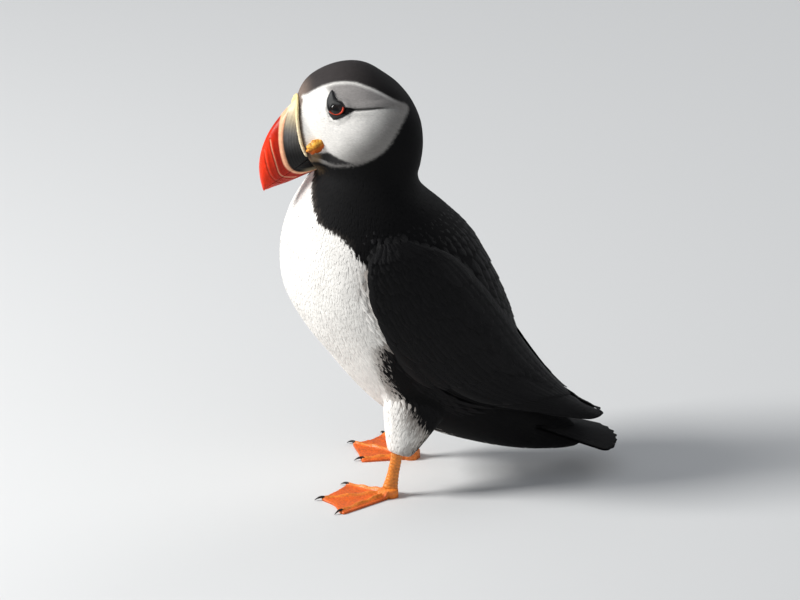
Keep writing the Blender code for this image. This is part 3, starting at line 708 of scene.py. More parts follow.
def tuft_template(name, rows):
    """A flat blade for instances: two points at its root, three in its rows, one at its tip."""
    points, rise, along, patch, faces, starts = [], [], [], [], [], []
    for y, half, high in rows:
        starts.append(len(points))
        columns = (0.0,) if half == 0 else (-1.0, 1.0) if y == 0 else (-1.0, 0.0, 1.0)
        for x in columns:
            points.append((x * half, y, 0.0))
            rise.append(high * (1.0 if x == 0 or y == 0 else TUFT_EDGE_RISE))
            along.append(y)
            patch.append((x * half, y - 0.5, 0.0))
    starts.append(len(points))
    for k in range(len(rows) - 1):
        low, high = (list(range(starts[i], starts[i + 1])) for i in (k, k + 1))
        if len(low) == 2 and len(high) == 3:
            faces += [(low[0], high[1], high[0]), (low[0], low[1], high[1])]
            faces.append((low[1], high[2], high[1]))
        elif len(high) == 1:
            faces += [(a, b, high[0]) for a, b in zip(low, low[1:])]
        else:
            faces += [(a, b, d, c) for a, b, c, d in zip(low, low[1:], high, high[1:])]
    made = add_piece(name, points, faces, None, tidy=False)
    vector_attribute(made.data, "rise", rise, "FLOAT")
    vector_attribute(made.data, "along", along, "FLOAT")
    vector_attribute(made.data, "patch", patch)
    made.hide_render = True
    return made


class Growth(Wiring):
    """A Geometry Nodes tree under construction, with its named inputs."""

    def __init__(self, name):
        self.tree = bpy.data.node_groups.new(name, "GeometryNodeTree")
        self.socket("Geometry", "OUTPUT", "Geometry")
        self.ids = {}
        self.source = self.tree.nodes.new("NodeGroupInput")

    def socket(self, name, way, kind):
        return self.tree.interface.new_socket(name, in_out=way, socket_type="NodeSocket" + kind)

    def input(self, name, kind="Float"):
        self.ids[name] = self.socket(name, "INPUT", kind).identifier
        return self.source.outputs[name]

    def named(self, name, kind="FLOAT_VECTOR"):
        return self.node("GeometryNodeInputNamedAttribute", {"Name": name}, data_type=kind).outputs[0]

    def stored(self, geometry, name, value, kind="FLOAT_VECTOR", domain="POINT"):
        inputs = {"Geometry": geometry, "Name": name, "Value": value}
        made = self.node("GeometryNodeStoreNamedAttribute", inputs, data_type=kind, domain=domain)
        return made.outputs[0]

    def nearest(self, mesh, value):
        """A value of a mesh's surface at the place nearest to each point."""
        inputs = {"Mesh": mesh, "Value": value}
        kind = "GeometryNodeSampleNearestSurface"
        return self.node(kind, inputs, data_type="FLOAT_VECTOR").outputs[0]

    def aligned(self, vector, inputs=(), **settings):
        inputs = {"Vector": vector, **dict(inputs)}
        return self.node("FunctionNodeAlignRotationToVector", inputs, **settings).outputs[0]

    def random(self, low, high, seed, offset):
        inputs = {2: low, 3: high, "Seed": self.math("ADD", seed, offset)}
        return self.node("FunctionNodeRandomValue", inputs, data_type="FLOAT").outputs[1]


def coat_tree():
    """Tufts scattered over the skin, laid along its flow, draped on it and mapped for baking."""
    w = Growth("Coat")
    skin = w.input("Skin", "Geometry")
    mask = w.input("Region", "String")
    template = w.input("Tuft", "Object")
    pitch, longer, wider, lift, unruly = (
        w.input(name) for name in ("Pitch", "Length", "Width", "Lift", "Unruly")
    )
    seed = w.input("Seed", "Int")
    finish = w.input("Finish", "Material")

    density = w.math("DIVIDE", 3.0, w.math("MULTIPLY", pitch, pitch))
    scatter = w.node(
        "GeometryNodeDistributePointsOnFaces",
        {"Mesh": skin, "Distance Min": pitch, "Density Max": density,
         "Density Factor": w.named(mask, "FLOAT"), "Seed": seed},
        distribute_method="POISSON",
    )
    where = w.node("GeometryNodeInputPosition").outputs[0]
    rooted = w.stored(scatter.outputs["Points"], "root", where)

    # Each tuft stands on the skin, turns to the flow and strays from it a little.
    upright = w.aligned(w.named("outward"), axis="Z")
    laid = w.aligned(w.named("flow"), {"Rotation": upright}, axis="Y", pivot_axis="Z")
    stray = w.math("MULTIPLY", w.random(-1.0, 1.0, seed, 11.0), unruly)
    twist = w.node("ShaderNodeCombineXYZ", {"Z": stray}).outputs[0]
    turning = {"Rotation": laid, "Rotate By": twist}
    turn = w.node("FunctionNodeRotateRotation", turning, rotation_space="LOCAL").outputs[0]
    size = w.named("size", "FLOAT")
    wide = w.math("MULTIPLY", w.math("MULTIPLY", wider, size), w.random(0.75, 1.25, seed, 23.0))
    long = w.math("MULTIPLY", w.math("MULTIPLY", longer, size), w.random(0.7, 1.25, seed, 37.0))
    scale = w.node("ShaderNodeCombineXYZ", {"X": wide, "Y": long, "Z": 1.0}).outputs[0]
    blade = w.node("GeometryNodeObjectInfo", {"Object": template}).outputs["Geometry"]
    tufts = w.node(
        "GeometryNodeInstanceOnPoints",
        {"Points": rooted, "Instance": blade, "Rotation": turn, "Scale": scale},
    ).outputs[0]
    joined = w.node("GeometryNodeRealizeInstances", {"Geometry": tufts}).outputs[0]

    # Its points drop on the skin and rise off it again by the coat's depth.
    nearest, outward = w.nearest(skin, where), w.nearest(skin, w.named("outward"))
    ruffle = w.math("MULTIPLY", w.named("rise", "FLOAT"), lift)
    height = w.math("MULTIPLY", ruffle, w.named("depth", "FLOAT"))
    rise = w.vector_math("SCALE", {0: outward, "Scale": height})
    over = w.vector_math("ADD", {0: nearest, 1: rise})
    draped = w.node("GeometryNodeSetPosition", {"Geometry": joined, "Position": over}).outputs[0]
    draped = w.stored(draped, "spot_here", w.nearest(skin, w.named("spot")))

    # The bake map: a patch at the root's place on the unwrap of the body's or a thigh's form.
    around = w.node("ShaderNodeSeparateXYZ", {0: w.named("round")}).outputs
    angle = w.math("ARCTAN2", around["X"], around["Y"])
    across = w.math("MULTIPLY_ADD", angle, 1 / TURN, 0.5)
    island = w.node("ShaderNodeSeparateXYZ", {0: w.named("island")}).outputs
    u = w.math("MULTIPLY_ADD", across, island["Y"], island["X"])
    spot = w.node("ShaderNodeCombineXYZ", {"X": u, "Y": around["Z"]}).outputs[0]
    patch = w.vector_math("SCALE", {0: w.named("patch"), "Scale": BAKE_PATCH})
    mapped = w.vector_math("ADD", {0: spot, 1: patch})
    stored = w.stored(draped, "OFBake", mapped, "FLOAT2", "CORNER")
    smooth = w.node("GeometryNodeSetShadeSmooth", {"Geometry": stored}).outputs[0]
    done = w.node("GeometryNodeSetMaterial", {"Geometry": smooth, "Material": finish}).outputs[0]
    w.tree.links.new(done, w.tree.nodes.new("NodeGroupOutput").inputs[0])
    return w


def grow_coat(wiring, skin, name, **inputs):
    """Runs the coat's tree on the skin and returns the tufts as a plain mesh object."""
    modifier = skin.modifiers.new(name, "NODES")
    modifier.node_group = wiring.tree
    for key, value in inputs.items():
        modifier[wiring.ids[key.replace("_", " ")]] = value
    bpy.context.view_layer.update()
    mesh = evaluated_mesh(skin)
    skin.modifiers.remove(modifier)
    mesh.name = name
    if not len(mesh.polygons):
        raise RuntimeError(f"no tufts grew for {name}")
    return show(name, mesh)


def colour_coat(piece, tuft_points, seed, waver, crisp):
    """Paints each tuft by the markings between its root and each vertex's own place.

    A crisp of 1 keeps an edge sharp across the tufts; 0 gives a whole tuft its root's colour.
    """
    mesh = piece.data
    number = np.arange(len(mesh.vertices)) // tuft_points
    count = number[-1] + 1
    chance = np.random.default_rng(seed)
    wavers = chance.normal(0, waver, count)[number]
    tones = chance.normal(1, 0.045, count)[number]
    spots = [vector_attribute(mesh, name) for name in ("spot", "spot_here")]
    crisp = (crisp + (1 - crisp) * step(7.3, 6.6, spots[0][:, 2]))[:, None]
    spot = spots[0] * (1 - crisp) + spots[1] * crisp
    degrees = np.degrees(np.arctan2(spot[:, 0], spot[:, 1]))
    places = bird(vector_attribute(mesh, "root") * (1 - crisp) + coordinates(mesh) * crisp)
    colours = markings(places, spot[:, 2], degrees, wavers)
    # Painted shade towards each tuft's root.
    along = vector_attribute(mesh, "along", kind="FLOAT").ravel()
    fade = 1 - ROOT_SHADE * (1 - along) ** 2
    paint(piece, colours * (tones * fade)[:, None])
    strip_attributes(mesh, "position", "tint", "OFBake", "material_index", "sharp_face")


# ---------------------------------------------------------------- skin


CUFF_CHIN = ((39.6, 8.6, 161.2), (37.6, 7.2, 158.4), (36.2, 4.0, 157.0), (35.8, 0.0, 156.8))
CUFF_LONG = 15.0
SKIN_GRAIN, SKIN_SMOOTHING = 0.9, 8
# The thighs lie under the first height, and their coat over the second.
THIGH_UNDER, LEG_COAT_OVER = 62.0, 22.0


def thigh_axis(side):
    """The ends of a thigh's middle line, at the trunk and over the shank."""
    top = np.array((THIGH_TOP[0], side * THIGH_TOP[1], THIGH_TOP[2]))
    heel, left = HEEL["left" if side > 0 else "right"]
    return top, np.array((heel - HOCK_BACK * 0.85, left, THIGH_FOOT_UP))


def thigh_rings(side):
    """Rings of a thigh, from inside the trunk to the top of the shank."""
    top, low = thigh_axis(side)
    share = np.linspace(0, 1, 24)[:, None]
    swell = (1 - share) ** 0.85
    halves = np.array(THIGH_FOOT_HALF) * (1 - swell) + np.array(THIGH_TOP_HALF) * swell
    path = top * (1 - share) + low * share
    return swept(path, halves[:, 0], halves[:, 1], 48, (0, 1, 0))


def bill_cuff():
    """Rings of the feathered cuff that brings the face forward to the rim of the bill."""
    half = np.array((*RIM_PATH[::-1], *CUFF_CHIN))
    half = smooth_between(half, np.linspace(0, len(half) - 1, 40))
    loop = np.vstack([half, half[-2:0:-1] * (1, -1, 1)]) - (0.5, 0, 0)
    rings = []
    for share in np.linspace(0, 1, 16):
        flare = share**0.8
        back = np.full(len(loop), -CUFF_LONG * share)
        wider, taller = 0.62 * loop[:, 1] * flare, 0.2 * (loop[:, 2] - 175) * flare
        rings.append(loop * (1, 0.98, 1) + np.stack([back, wider, taller], 1))
    return np.array(rings)


def flesh():
    """Body, cuff and thighs as one closed surface."""
    stations = np.concatenate([[0.0, 0.04], np.linspace(0.1, BODY.last, 230)])
    body = BODY.points(stations[:, None], np.arange(120)[None] * 3.0)
    points, faces = np.zeros((0, 3)), []
    for rings in (body, bill_cuff(), thigh_rings(1), thigh_rings(-1)):
        more, own = tube(rings)
        faces += [tuple(i + len(points) for i in face) for face in own]
        points = np.vstack([points, more])
    made = add_piece("skin", place(points), faces, None)
    remesh = made.modifiers.new("one", "REMESH")
    remesh.mode = "VOXEL"
    remesh.voxel_size = SKIN_GRAIN * MM
    smooth = made.modifiers.new("soft", "SMOOTH")
    smooth.factor = 0.5
    smooth.iterations = SKIN_SMOOTHING
    mesh = evaluated_mesh(made)
    made.modifiers.clear()
    made.data = mesh
    return made


def nearest_stations(points):
    """Station, degrees and distance of each bird point's nearest place on the body's form."""
    stations = np.concatenate([np.linspace(0.02, 1, 24), np.linspace(1.04, BODY.last, 420)])
    degrees = np.arange(-180, 180, 2.0)
    grid = BODY.points(stations[:, None], degrees[None])
    tree = KDTree(grid.shape[0] * grid.shape[1])
    for i, p in enumerate(grid.reshape(-1, 3).tolist()):
        tree.insert(p, i)
    tree.balance()
    found = np.array([tree.find(p)[1:] for p in points.tolist()])
    index = found[:, 0].astype(int)
    return stations[index // len(degrees)], degrees[index % len(degrees)], found[:, 1]


def coat_depth(station):
    """How deep the coat is over the skin, in millimetres."""
    plumage = bpy.context.scene.puffin_plumage
    head, body = plumage.head_depth / MM, plumage.body_depth / MM
    deep = head + (body - head) * step(5.5, 9.0, station)
    return deep * (1 - 0.4 * step(16.5, 19, station))


def head_relief(points):
    """How far the skin of the face rises or sinks, in millimetres."""
    forward, left, up = points.T
    spots = mirrored(points)
    from_eye = np.linalg.norm(spots - EYE_SPOT, axis=1)
    crease = line_distance(points[:, (0, 2)], CREASE_LINE)
    on_side = step(3, 9, np.abs(left)) * step(158, 164, up)
    relief = -0.7 * step(0.9, 0.0, crease) * on_side * step(-7, 0, forward)
    relief += 0.55 * step(4.0, 1.2, crease) * on_side * step(-7, 0, forward)
    relief += 0.5 * step(7.5, 5.2, from_eye) - 1.1 * step(4.9, 3.6, from_eye)
    cheek = np.linalg.norm((spots - (19, 20.5, 178)) / (17, 9, 12), axis=1)
    relief += 0.7 * step(1.0, 0.2, cheek)
    return relief


def flow_field(points, station, degrees, thigh):
    """The lie of the coat as bird directions: back from the bill, then down to the tail."""
    forward, left, up = points.T
    fall = np.radians(np.interp(forward, [-14, -6, 6, 26, 42], [84, 52, 18, 2, -4]))
    head = np.stack([-np.cos(fall), 0.12 * np.sign(left), -np.sin(fall)], 1)
    ahead = BODY.points(np.minimum(station + 0.08, BODY.last), degrees)
    behind = BODY.points(np.maximum(station - 0.08, 0.02), degrees)
    lower = step(5.0, 7.2, station)[:, None]
    flow = unit(head) * (1 - lower) + unit(ahead - behind) * lower
    for side in (1, -1):
        top, low = thigh_axis(side)
        share = thigh * (np.sign(left) == side)
        flow = flow * (1 - share)[:, None] + unit(low - top) * share[:, None]
    return unit(flow)


# Where each coat grows: from station, to station, least and most degrees.
REGIONS = {
    "face": (0.0, 6.3, 0, 180),
    "neck": (5.9, 9.3, 0, 180),
    "breast": (8.9, 13.2, 0, 88),
    "belly": (12.9, 19.0, 0, 112),
    "back": (8.9, 19.0, 100, 180),
}


def dress_skin(skin):
    """Sinks the skin by the coat's depth, shapes the face and stores what the coat needs."""
    mesh = skin.data
    points = bird(coordinates(mesh))
    station, degrees, away = nearest_stations(points)
    thigh = step(0.8, 3.0, away) * (points[:, 2] < THIGH_UNDER)
    on_leg = thigh > 0.5
    depth = coat_depth(station)
    relief = np.where(station < 6.8, head_relief(points), 0.0)
    points += turned_back(normals(mesh)) * (relief - depth)[:, None]
    mesh.vertices.foreach_set("co", place(points).astype(np.float32).ravel())
    mesh.update()
    vector_attribute(mesh, "outward", normals(mesh))
    vector_attribute(mesh, "depth", depth * MM, "FLOAT")
    vector_attribute(mesh, "flow", turned(flow_field(points, station, degrees, thigh)))

    # The bake map's unwrap: round and down the body, with a place of its own for each thigh.
    turn = np.radians(degrees)
    angle, v = turn, 0.02 + 0.74 * station / BODY.last
    island = np.tile((0.0, 1.0, 0.0), (len(points), 1))
    for side, first in ((1, 0.52), (-1, 0.02)):
        top, low = thigh_axis(side)
        chosen = on_leg & (np.sign(points[:, 1]) == side)
        off = points - top
        angle = np.where(chosen, np.arctan2(off[:, 1] - (low - top)[1] * 0.5, off[:, 0]), angle)
        v = np.where(chosen, 0.80 + 0.18 * (THIGH_TOP[2] - points[:, 2]) / THIGH_TOP[2], v)
        island[chosen] = (first, 0.44, 0)
    vector_attribute(mesh, "round", np.stack([np.sin(angle), np.cos(angle), v], 1))
    vector_attribute(mesh, "spot", np.stack([np.sin(turn), np.cos(turn), station], 1))
    vector_attribute(mesh, "island", island)

    # Tufts are smaller round the eye and by the bill, and the eye's place is bare.
    eye = np.linalg.norm(mirrored(points) - EYE_SPOT, axis=1)
    on_face = station < 6.3
    size = np.where(on_face, 0.7 + 0.4 * step(4, 16, eye), 1.0)
    bill_gap = np.linalg.norm(points - (42.0, 0, 178.0), axis=1)
    size = size * np.where(on_face, 0.8 + 0.2 * step(10, 26, bill_gap), 1.0)
    vector_attribute(mesh, "size", size, "FLOAT")
    ahead = (points[:, 0] - EYE_SPOT[0]) / np.maximum(eye, 0.1)
    bare = eye < 3.8 + 0.8 * np.clip(ahead, 0, 1)
    round_by = np.abs(degrees)
    for name, (first, last, low, high) in REGIONS.items():
        chosen = (station >= first) & (station <= last) & (round_by >= low) & (round_by <= high)
        vector_attribute(mesh, "grow_" + name, chosen & ~bare & ~on_leg, "FLOAT")
    leg_coat = (thigh > 0.3) & (points[:, 2] > LEG_COAT_OVER)
    vector_attribute(mesh, "grow_legs", leg_coat, "FLOAT")
    colours = markings(points, station, degrees)
    colours[on_leg] = leg_markings(points[on_leg])
    paint(skin, colours * 0.8)
    return skin


COATS = (
    # name, region, template, pitch, length, width, lift, unruly, seed, waver, crisp, slot
    ("coat_face", "face", "fine", 0.39, 2.3, 0.85, 1.0, 0.10, 3, 0.15, 1.0, "plumage_black"),
    ("coat_neck", "neck", "soft", 0.70, 4.4, 1.15, 1.0, 0.12, 4, 0.4, 0.4, "plumage_black"),
    ("coat_breast", "breast", "soft", 0.80, 5.6, 1.30, 1.0, 0.10, 5, 0.6, 0.2, "plumage_white"),
    ("coat_belly", "belly", "soft", 0.85, 6.2, 1.30, 1.0, 0.14, 6, 0.9, 0.2, "plumage_white"),
    ("coat_back", "back", "soft", 1.30, 8.0, 2.0, 1.0, 0.10, 7, 0.3, 0.3, "plumage_black"),
    ("coat_legs", "legs", "soft", 0.62, 4.6, 0.95, 1.35, 0.20, 8, 0.3, 0.3, "plumage_white"),
)


# ---------------------------------------------------------------- laid feathers


VANE_ACROSS = np.array((-1.0, -0.55, 0.0, 0.55, 1.0))
# Rows of the wing's coverts, from the longest up: first station, length, how many, breadth.
COVERTS = (
    (11.9, 1.9, 13, 8.5), (11.3, 1.4, 15, 7.0), (10.9, 1.1, 17, 6.0), (10.6, 0.95, 18, 5.4),
    (10.3, 0.85, 18, 5.0), (10.0, 0.75, 17, 4.6), (9.8, 0.65, 15, 4.2), (9.6, 0.6, 12, 4.0),
    (9.42, 0.5, 9, 3.8),
)
WING_BACK_EDGE = ((0.86, 12), (0.94, 14), (1.0, 14))  # across, how many
# Rows of the tail's coverts: first and last share of its length, how many, height.
TAIL_COVERTS = ((-0.02, 0.42, 9, 1.5), (0.1, 0.56, 8, 1.3), (-0.05, 0.30, 8, 2.2))
TAIL_FEATHERS = 12


def wing_edges(station):
    """The folded wing's lower and upper edge in degrees."""
    return (np.interp(station, WING_EDGES[:, 0], WING_EDGES[:, i]) for i in (1, 2))


def wing_surface(side):
    """Places on the folded wing: station, share of its breadth from its lower edge, height."""
    def surface(station, across, height):
        low, high = wing_edges(station)
        p = WING.points(np.clip(station, 9.0, 19.0), low + (high - low) * across, height)
        p[..., 1] *= side
        return p
    return surface


def mantle_surface(side):
    """The body's surface that climbs on to the folded wing round the wing's edges."""
    def surface(station, degrees, height):
        low, high = wing_edges(station)
        inside = np.minimum(np.minimum(degrees - low, high - degrees) / 8, (station - 9.3) / 0.35)
        share = step(-0.8, 1.0, inside)[..., None]
        body = BODY.points(station, degrees, height)
        wing = WING.points(np.clip(station, 9.0, 19.0), degrees, height + 0.15)
        p = body * (1 - share) + wing * share
        p[..., 1] *= side
        return p
    return surface


def tail_surface(share, across, height):
    """A place on the tail: share of its length, across from -1 to 1, height over its middle."""
    root, tip = np.array(TAIL_ROOT), np.array(TAIL_TIP)
    run = unit(tip - root)
    up = np.array((run[1], -run[0]))
    half = TAIL_ROOT_HALF + (TAIL_TIP_HALF - TAIL_ROOT_HALF) * share
    reach = np.linalg.norm(tip - root) - TAIL_ROUNDING * (1 - np.cos(across * np.pi / 2))
    lift = TAIL_ARCH * share * (1 - across**2) + height
    spot = root + run * (share * reach)[..., None] + up * lift[..., None]
    return np.stack([spot[..., 0], across * half, spot[..., 1]], -1)


def pairs(first, second):
    """Places from two rows of numbers, or from a row and a number that all share."""
    return np.stack(np.broadcast_arrays(first, second), 1).astype(float)


def tract(roots, tips, width, heights, rows, blunt, **colouring):
    """Feathers of one kind, by their places, breadth and height over the surface at each end."""
    count = len(roots)
    return dict(
        roots=roots, tips=tips, widths=np.broadcast_to(width, (count,)),
        heights=np.broadcast_to(heights, (count, 2)), rows=rows, blunt=blunt, **colouring,
    )


def laid_feathers(surface, roots, tips, widths, heights, rows, blunt):
    """Feathers laid on a surface, from root to tip places, each an arched vane.

    Returns points, faces, each vertex's place along (0 to 1), off the shaft and along it in
    millimetres, and how many vertices a feather has.
    """
    along = np.sin(np.linspace(0, 1, rows) * np.pi / 2)
    round_tip = np.clip(1 - ((along - blunt) / (1 - blunt)).clip(0) ** 2, 0.01, 1)
    outline = np.clip(0.35 + 1.6 * along, 0, 1) * np.sqrt(round_tip)
    path = roots[:, None] + (tips - roots)[:, None] * along[None, :, None]
    middle = surface(path[..., 0], path[..., 1], heights[:, :1])
    nudge = surface(path[..., 0], path[..., 1] + 0.01, heights[:, :1])
    pace = np.maximum(np.linalg.norm(nudge - middle, axis=-1) / 0.01, 1e-3)
    half = widths[:, None] / 2 * outline
    off = half[..., None] * VANE_ACROSS
    height = heights[:, :1] + (heights[:, 1:] - heights[:, :1]) * along
    arch = 0.06 * widths[:, None, None] * (1 - VANE_ACROSS**2)
    across = path[..., 1:] + off / pace[..., None]
    points = surface(path[..., :1], across, height[..., None] + arch)
    count, cols = len(roots), len(VANE_ACROSS)
    base = np.arange(count)[:, None, None] * rows * cols
    r, c = np.meshgrid(np.arange(rows - 1), np.arange(cols - 1), indexing="ij")
    cell = base + r[None] * cols + c[None]
    quads = np.stack([cell, cell + 1, cell + cols + 1, cell + cols], -1).reshape(-1, 4)
    lengths = np.linalg.norm(middle[:, -1] - middle[:, 0], axis=-1)
    run = along[None, :] * lengths[:, None]
    along, off, run = (
        np.broadcast_to(a, off.shape).reshape(-1) for a in (along[None, :, None], off, run[..., None])
    )
    return points.reshape(-1, 3), quads, along, off, run, rows * cols


def feather_piece(name, tracts, surface, unwrap, material, tint, seed):
    """One object of many laid feathers, with its colours, vane map and bake map."""
    chance = np.random.default_rng(seed)
    rows, faces, first = [], [], 0
    for laid in tracts:
        tone, own = laid.pop("tone", 1.0), laid.pop("tints", tint)
        points, quads, along, off, run, per = laid_feathers(surface, **laid)
        count = len(laid["roots"])
        shade = np.repeat(chance.normal(tone, 0.08, count), per)[:, None]
        # Painted sheen: each feather is painted lighter towards its edges.
        rim = (1.0 + 0.25 * np.abs(off) / 4)[:, None]
        colour = np.repeat(np.broadcast_to(own, (count, 3)), per, 0) * shade * rim
        home = np.repeat(unwrap(laid["roots"]), per, 0)
        rows.append((points, along, off, run, colour, home))
        faces.append(quads + first)
        first += len(points)
    points, along, off, run, colour, home = (np.concatenate(part) for part in zip(*rows))
    made = add_piece(name, place(points), np.vstack(faces).tolist(), material, tidy=False)
    mesh = made.data
    corner = np.zeros(len(mesh.loops), np.int32)
    mesh.loops.foreach_get("vertex_index", corner)
    patch = pairs(off / 12, along - 0.5).clip(-0.5, 0.5) * BAKE_PATCH
    for layer, values in (("OFBake", home + patch), ("Vane", pairs(off, run))):
        uv = mesh.uv_layers.new(name=layer)
        uv.data.foreach_set("uv", values[corner].astype(np.float32).ravel())
    paint(made, colour)
    return made


def face_outwards(piece, outward):
    """Turns a sheet's faces so that they look along a direction at each one's middle."""
    shape = bmesh.new()
    shape.from_mesh(piece.data)
    shape.normal_update()
    wrong = [f for f in shape.faces if f.normal.dot(outward(f.calc_center_median())) < 0]
    bmesh.ops.reverse_faces(shape, faces=wrong)
    shape.to_mesh(piece.data)
    shape.free()


def wing_tracts(seed):
    """The feather tracts of one folded wing, from those that lie lowest to the topmost."""
    chance = np.random.default_rng(seed)
    across = np.linspace(0.10, 0.74, 9)
    primaries = tract(
        pairs(np.linspace(12.6, 13.4, 9), across),
        pairs(np.linspace(18.75, 17.0, 9), across * 0.7 + 0.22),
        10.0, pairs(-1.4, np.linspace(-0.9, 0.0, 9)), 26, 0.9, tone=0.9,
    )
    across = np.linspace(0.16, 0.97, 13)
    ends = np.linspace(15.0, 16.3, 13) + chance.normal(0, 0.06, 13)
    secondaries = tract(pairs(11.6, across), pairs(ends, across), 9.5, (-1.3, 0.1), 18, 0.85)
    tracts = [primaries, secondaries]
    for first, length, count, width in COVERTS:
        for shift in (0.0, 0.5):
            across = (np.arange(count) + shift) / count * 1.02 - 0.01
            start = np.maximum(first - 0.16 * shift + chance.normal(0, 0.03, count), 9.3)
            reach = pairs(length * chance.normal(1, 0.06, count), chance.normal(0, 0.01, count))
            roots = pairs(start, across)
            breadth = width * chance.normal(1, 0.08, count)
            tracts.append(tract(roots, roots + reach, breadth, (-1.0, 0.15), 8, 0.55))
    for edge, count in WING_BACK_EDGE:
        roots = pairs(np.linspace(9.7, 13.6, count)[::-1], edge)
        tips = roots + pairs(np.linspace(1.7, 1.1, count), -0.05)
        tracts.append(tract(roots, tips, 8.5, (-0.7, 0.45), 10, 0.6, tone=1.15))
    return tracts


def mantle_tracts(seed):
    """Shoulder and back feathers that hide where the wing leaves the body, lowest first."""
    chance = np.random.default_rng(seed)
    tracts = []
    for station in np.arange(13.4, 8.6, -0.20):
        high = np.interp(station, WING_EDGES[:, 0], WING_EDGES[:, 2], left=100)
        first = max(high - 14, 84) if station > 9.35 else 80
        gap = np.interp(station, [8.8, 10], [5.6, 7.5])
        degrees = np.arange(first, 179, gap) + 0.5 * gap * (round(station / 0.20) % 2)
        count = len(degrees)
        long, width, lift = (
            np.interp(station, [8.8, 10, 13.4], ends)
            for ends in ((0.50, 0.85, 1.15), (3.4, 6.0, 7.5), (-0.15, 0.15, 0.15))
        )
        roots = pairs(station + chance.normal(0, 0.03, count), degrees)
        drift = np.where(degrees < high + 10, -2.5, 0.0)
        reach = pairs(long * chance.normal(1, 0.07, count), drift + chance.normal(0, 0.6, count))
        breadth = width * chance.normal(1, 0.08, count)
        tracts.append(tract(roots, roots + reach, breadth, (-1.2, lift), 9, 0.5, tone=0.85))
    return tracts


def flank_tracts(seed):
    """Feathers of the flank that lap over the wing's lower edge, white turning to brown."""
    chance = np.random.default_rng(seed)
    colours = bpy.context.scene.puffin_plumage
    white, brown, black = (np.array(c) for c in (colours.white, colours.flank, colours.black))
    tracts = []
    for station in np.arange(14.6, 9.75, -0.15):
        low, ahead = np.interp((station, station + 0.62), WING_EDGES[:, 0], WING_EDGES[:, 1])
        shift = np.array((-11.0, -8.0, -5.0, -2.0)) + 1.5 * (round(station / 0.15) % 2)
        count = len(shift)
        roots = pairs(station + chance.normal(0, 0.04, count), low + shift)
        tips = pairs(roots[:, 0] + 0.62, ahead + shift + 3.0 + chance.normal(0, 1.0, count))
        bib = np.interp(station + 0.4, BIB_EDGE[:, 0], BIB_EDGE[:, 1])
        past = low + shift - bib + chance.normal(0, 1.5, count)
        tints = blend(blend(white, brown, 0.8 * step(-10, 0, past)), black * 2, step(0.5, 4, past))
        breadth = chance.normal(2.6, 0.3, count)
        tracts.append(tract(roots, tips, breadth, (-1.0, 0.2), 7, 0.35, tints=tints))
    return tracts


def tail_tracts():
    """The tail's feathers and their coverts, over its core and then under it."""
    spread = np.linspace(-0.88, 0.88, TAIL_FEATHERS)
    order = np.abs(spread)
    tracts = []
    for sign in (1, -1):
        tips = pairs(1.0 - 0.02 * (np.arange(TAIL_FEATHERS) % 2), spread)
        heights = pairs(sign * (0.9 - 0.2 * order), sign * (0.75 - 0.35 * order))
        tracts.append(tract(pairs(0.02, spread), tips, 8.0, heights, 18, 0.93))
        for first, last, count, high in TAIL_COVERTS:
            side = np.linspace(-0.8, 0.8, count)
            tips = pairs(last - 0.1 * side**2, side * 0.9)
            tracts.append(tract(pairs(first, side), tips, 6.0, (sign * high, sign * 0.9), 10, 0.6))
    return tracts


def wing_unwrap(roots):
    """Bake map places of wing feathers: across the wing by down it."""
    return pairs(0.05 + 0.9 * roots[:, 1].clip(0, 1), (roots[:, 0] - 9) / 10.5)


def body_unwrap(roots):
    """Bake map places of mantle and flank feathers: round the body by down it."""
    return pairs(roots[:, 1] / 200, (roots[:, 0] - 8) / 8)


def tail_unwrap(roots):
    """Bake map places of tail feathers: across the tail by down it."""
    return pairs(0.5 + 0.45 * roots[:, 1], 0.1 + 0.8 * roots[:, 0])


def wing_core(side):
    """Rings of the wing's own flesh: the folded wing's shell, a little smaller."""
    start, end = WING_EDGES[0, 0], WING_EDGES[-1, 0]
    station = np.linspace(start, end, 60)[:, None]
    share = (station - start) / (end - start)
    thick = WING_THICK + (WING_TIP_THICK - WING_THICK) * share
    across = np.linspace(0, 1, 17)[None]
    rounding = 1 - (2 * across - 1) ** 4
    surface = wing_surface(side)
    outer = surface(station, 0.02 + 0.96 * across, -1.0 - 0.4 * (1 - rounding))
    inner = surface(station, 0.02 + 0.96 * across[:, ::-1], -thick * (0.25 + 0.75 * rounding))
    return np.concatenate([outer, inner], 1)


def tail_core():
    """Rings of the thin flesh between the tail's feathers."""
    share = np.linspace(0, 0.93, 24)[:, None]
    across = np.linspace(-0.97, 0.97, 25)[None]
    half = TAIL_THICK / 2 * (1 - 0.4 * share) * 0.55 * (1 - 0.5 * across**8)
    top, under = tail_surface(share, across, half), tail_surface(share, across[:, ::-1], -half)
    return np.concatenate([top, under], 1)


# ---------------------------------------------------------------- settings


def colour_setting(name, description, *default):
    """A colour that a user can change."""
    return FloatVectorProperty(
        name=name, description=description, default=default, subtype="COLOR", min=0, max=1)


def length_setting(name, description, default, **limits):
    """A length in metres that a user can change."""
    return FloatProperty(
        name=name, description=description, default=default, unit="LENGTH", **limits)


def angle_setting(name, description, degrees):
    """An angle that a user can change, with its default in degrees."""
    return FloatProperty(
        name=name, description=description, default=math.radians(degrees), subtype="ANGLE")


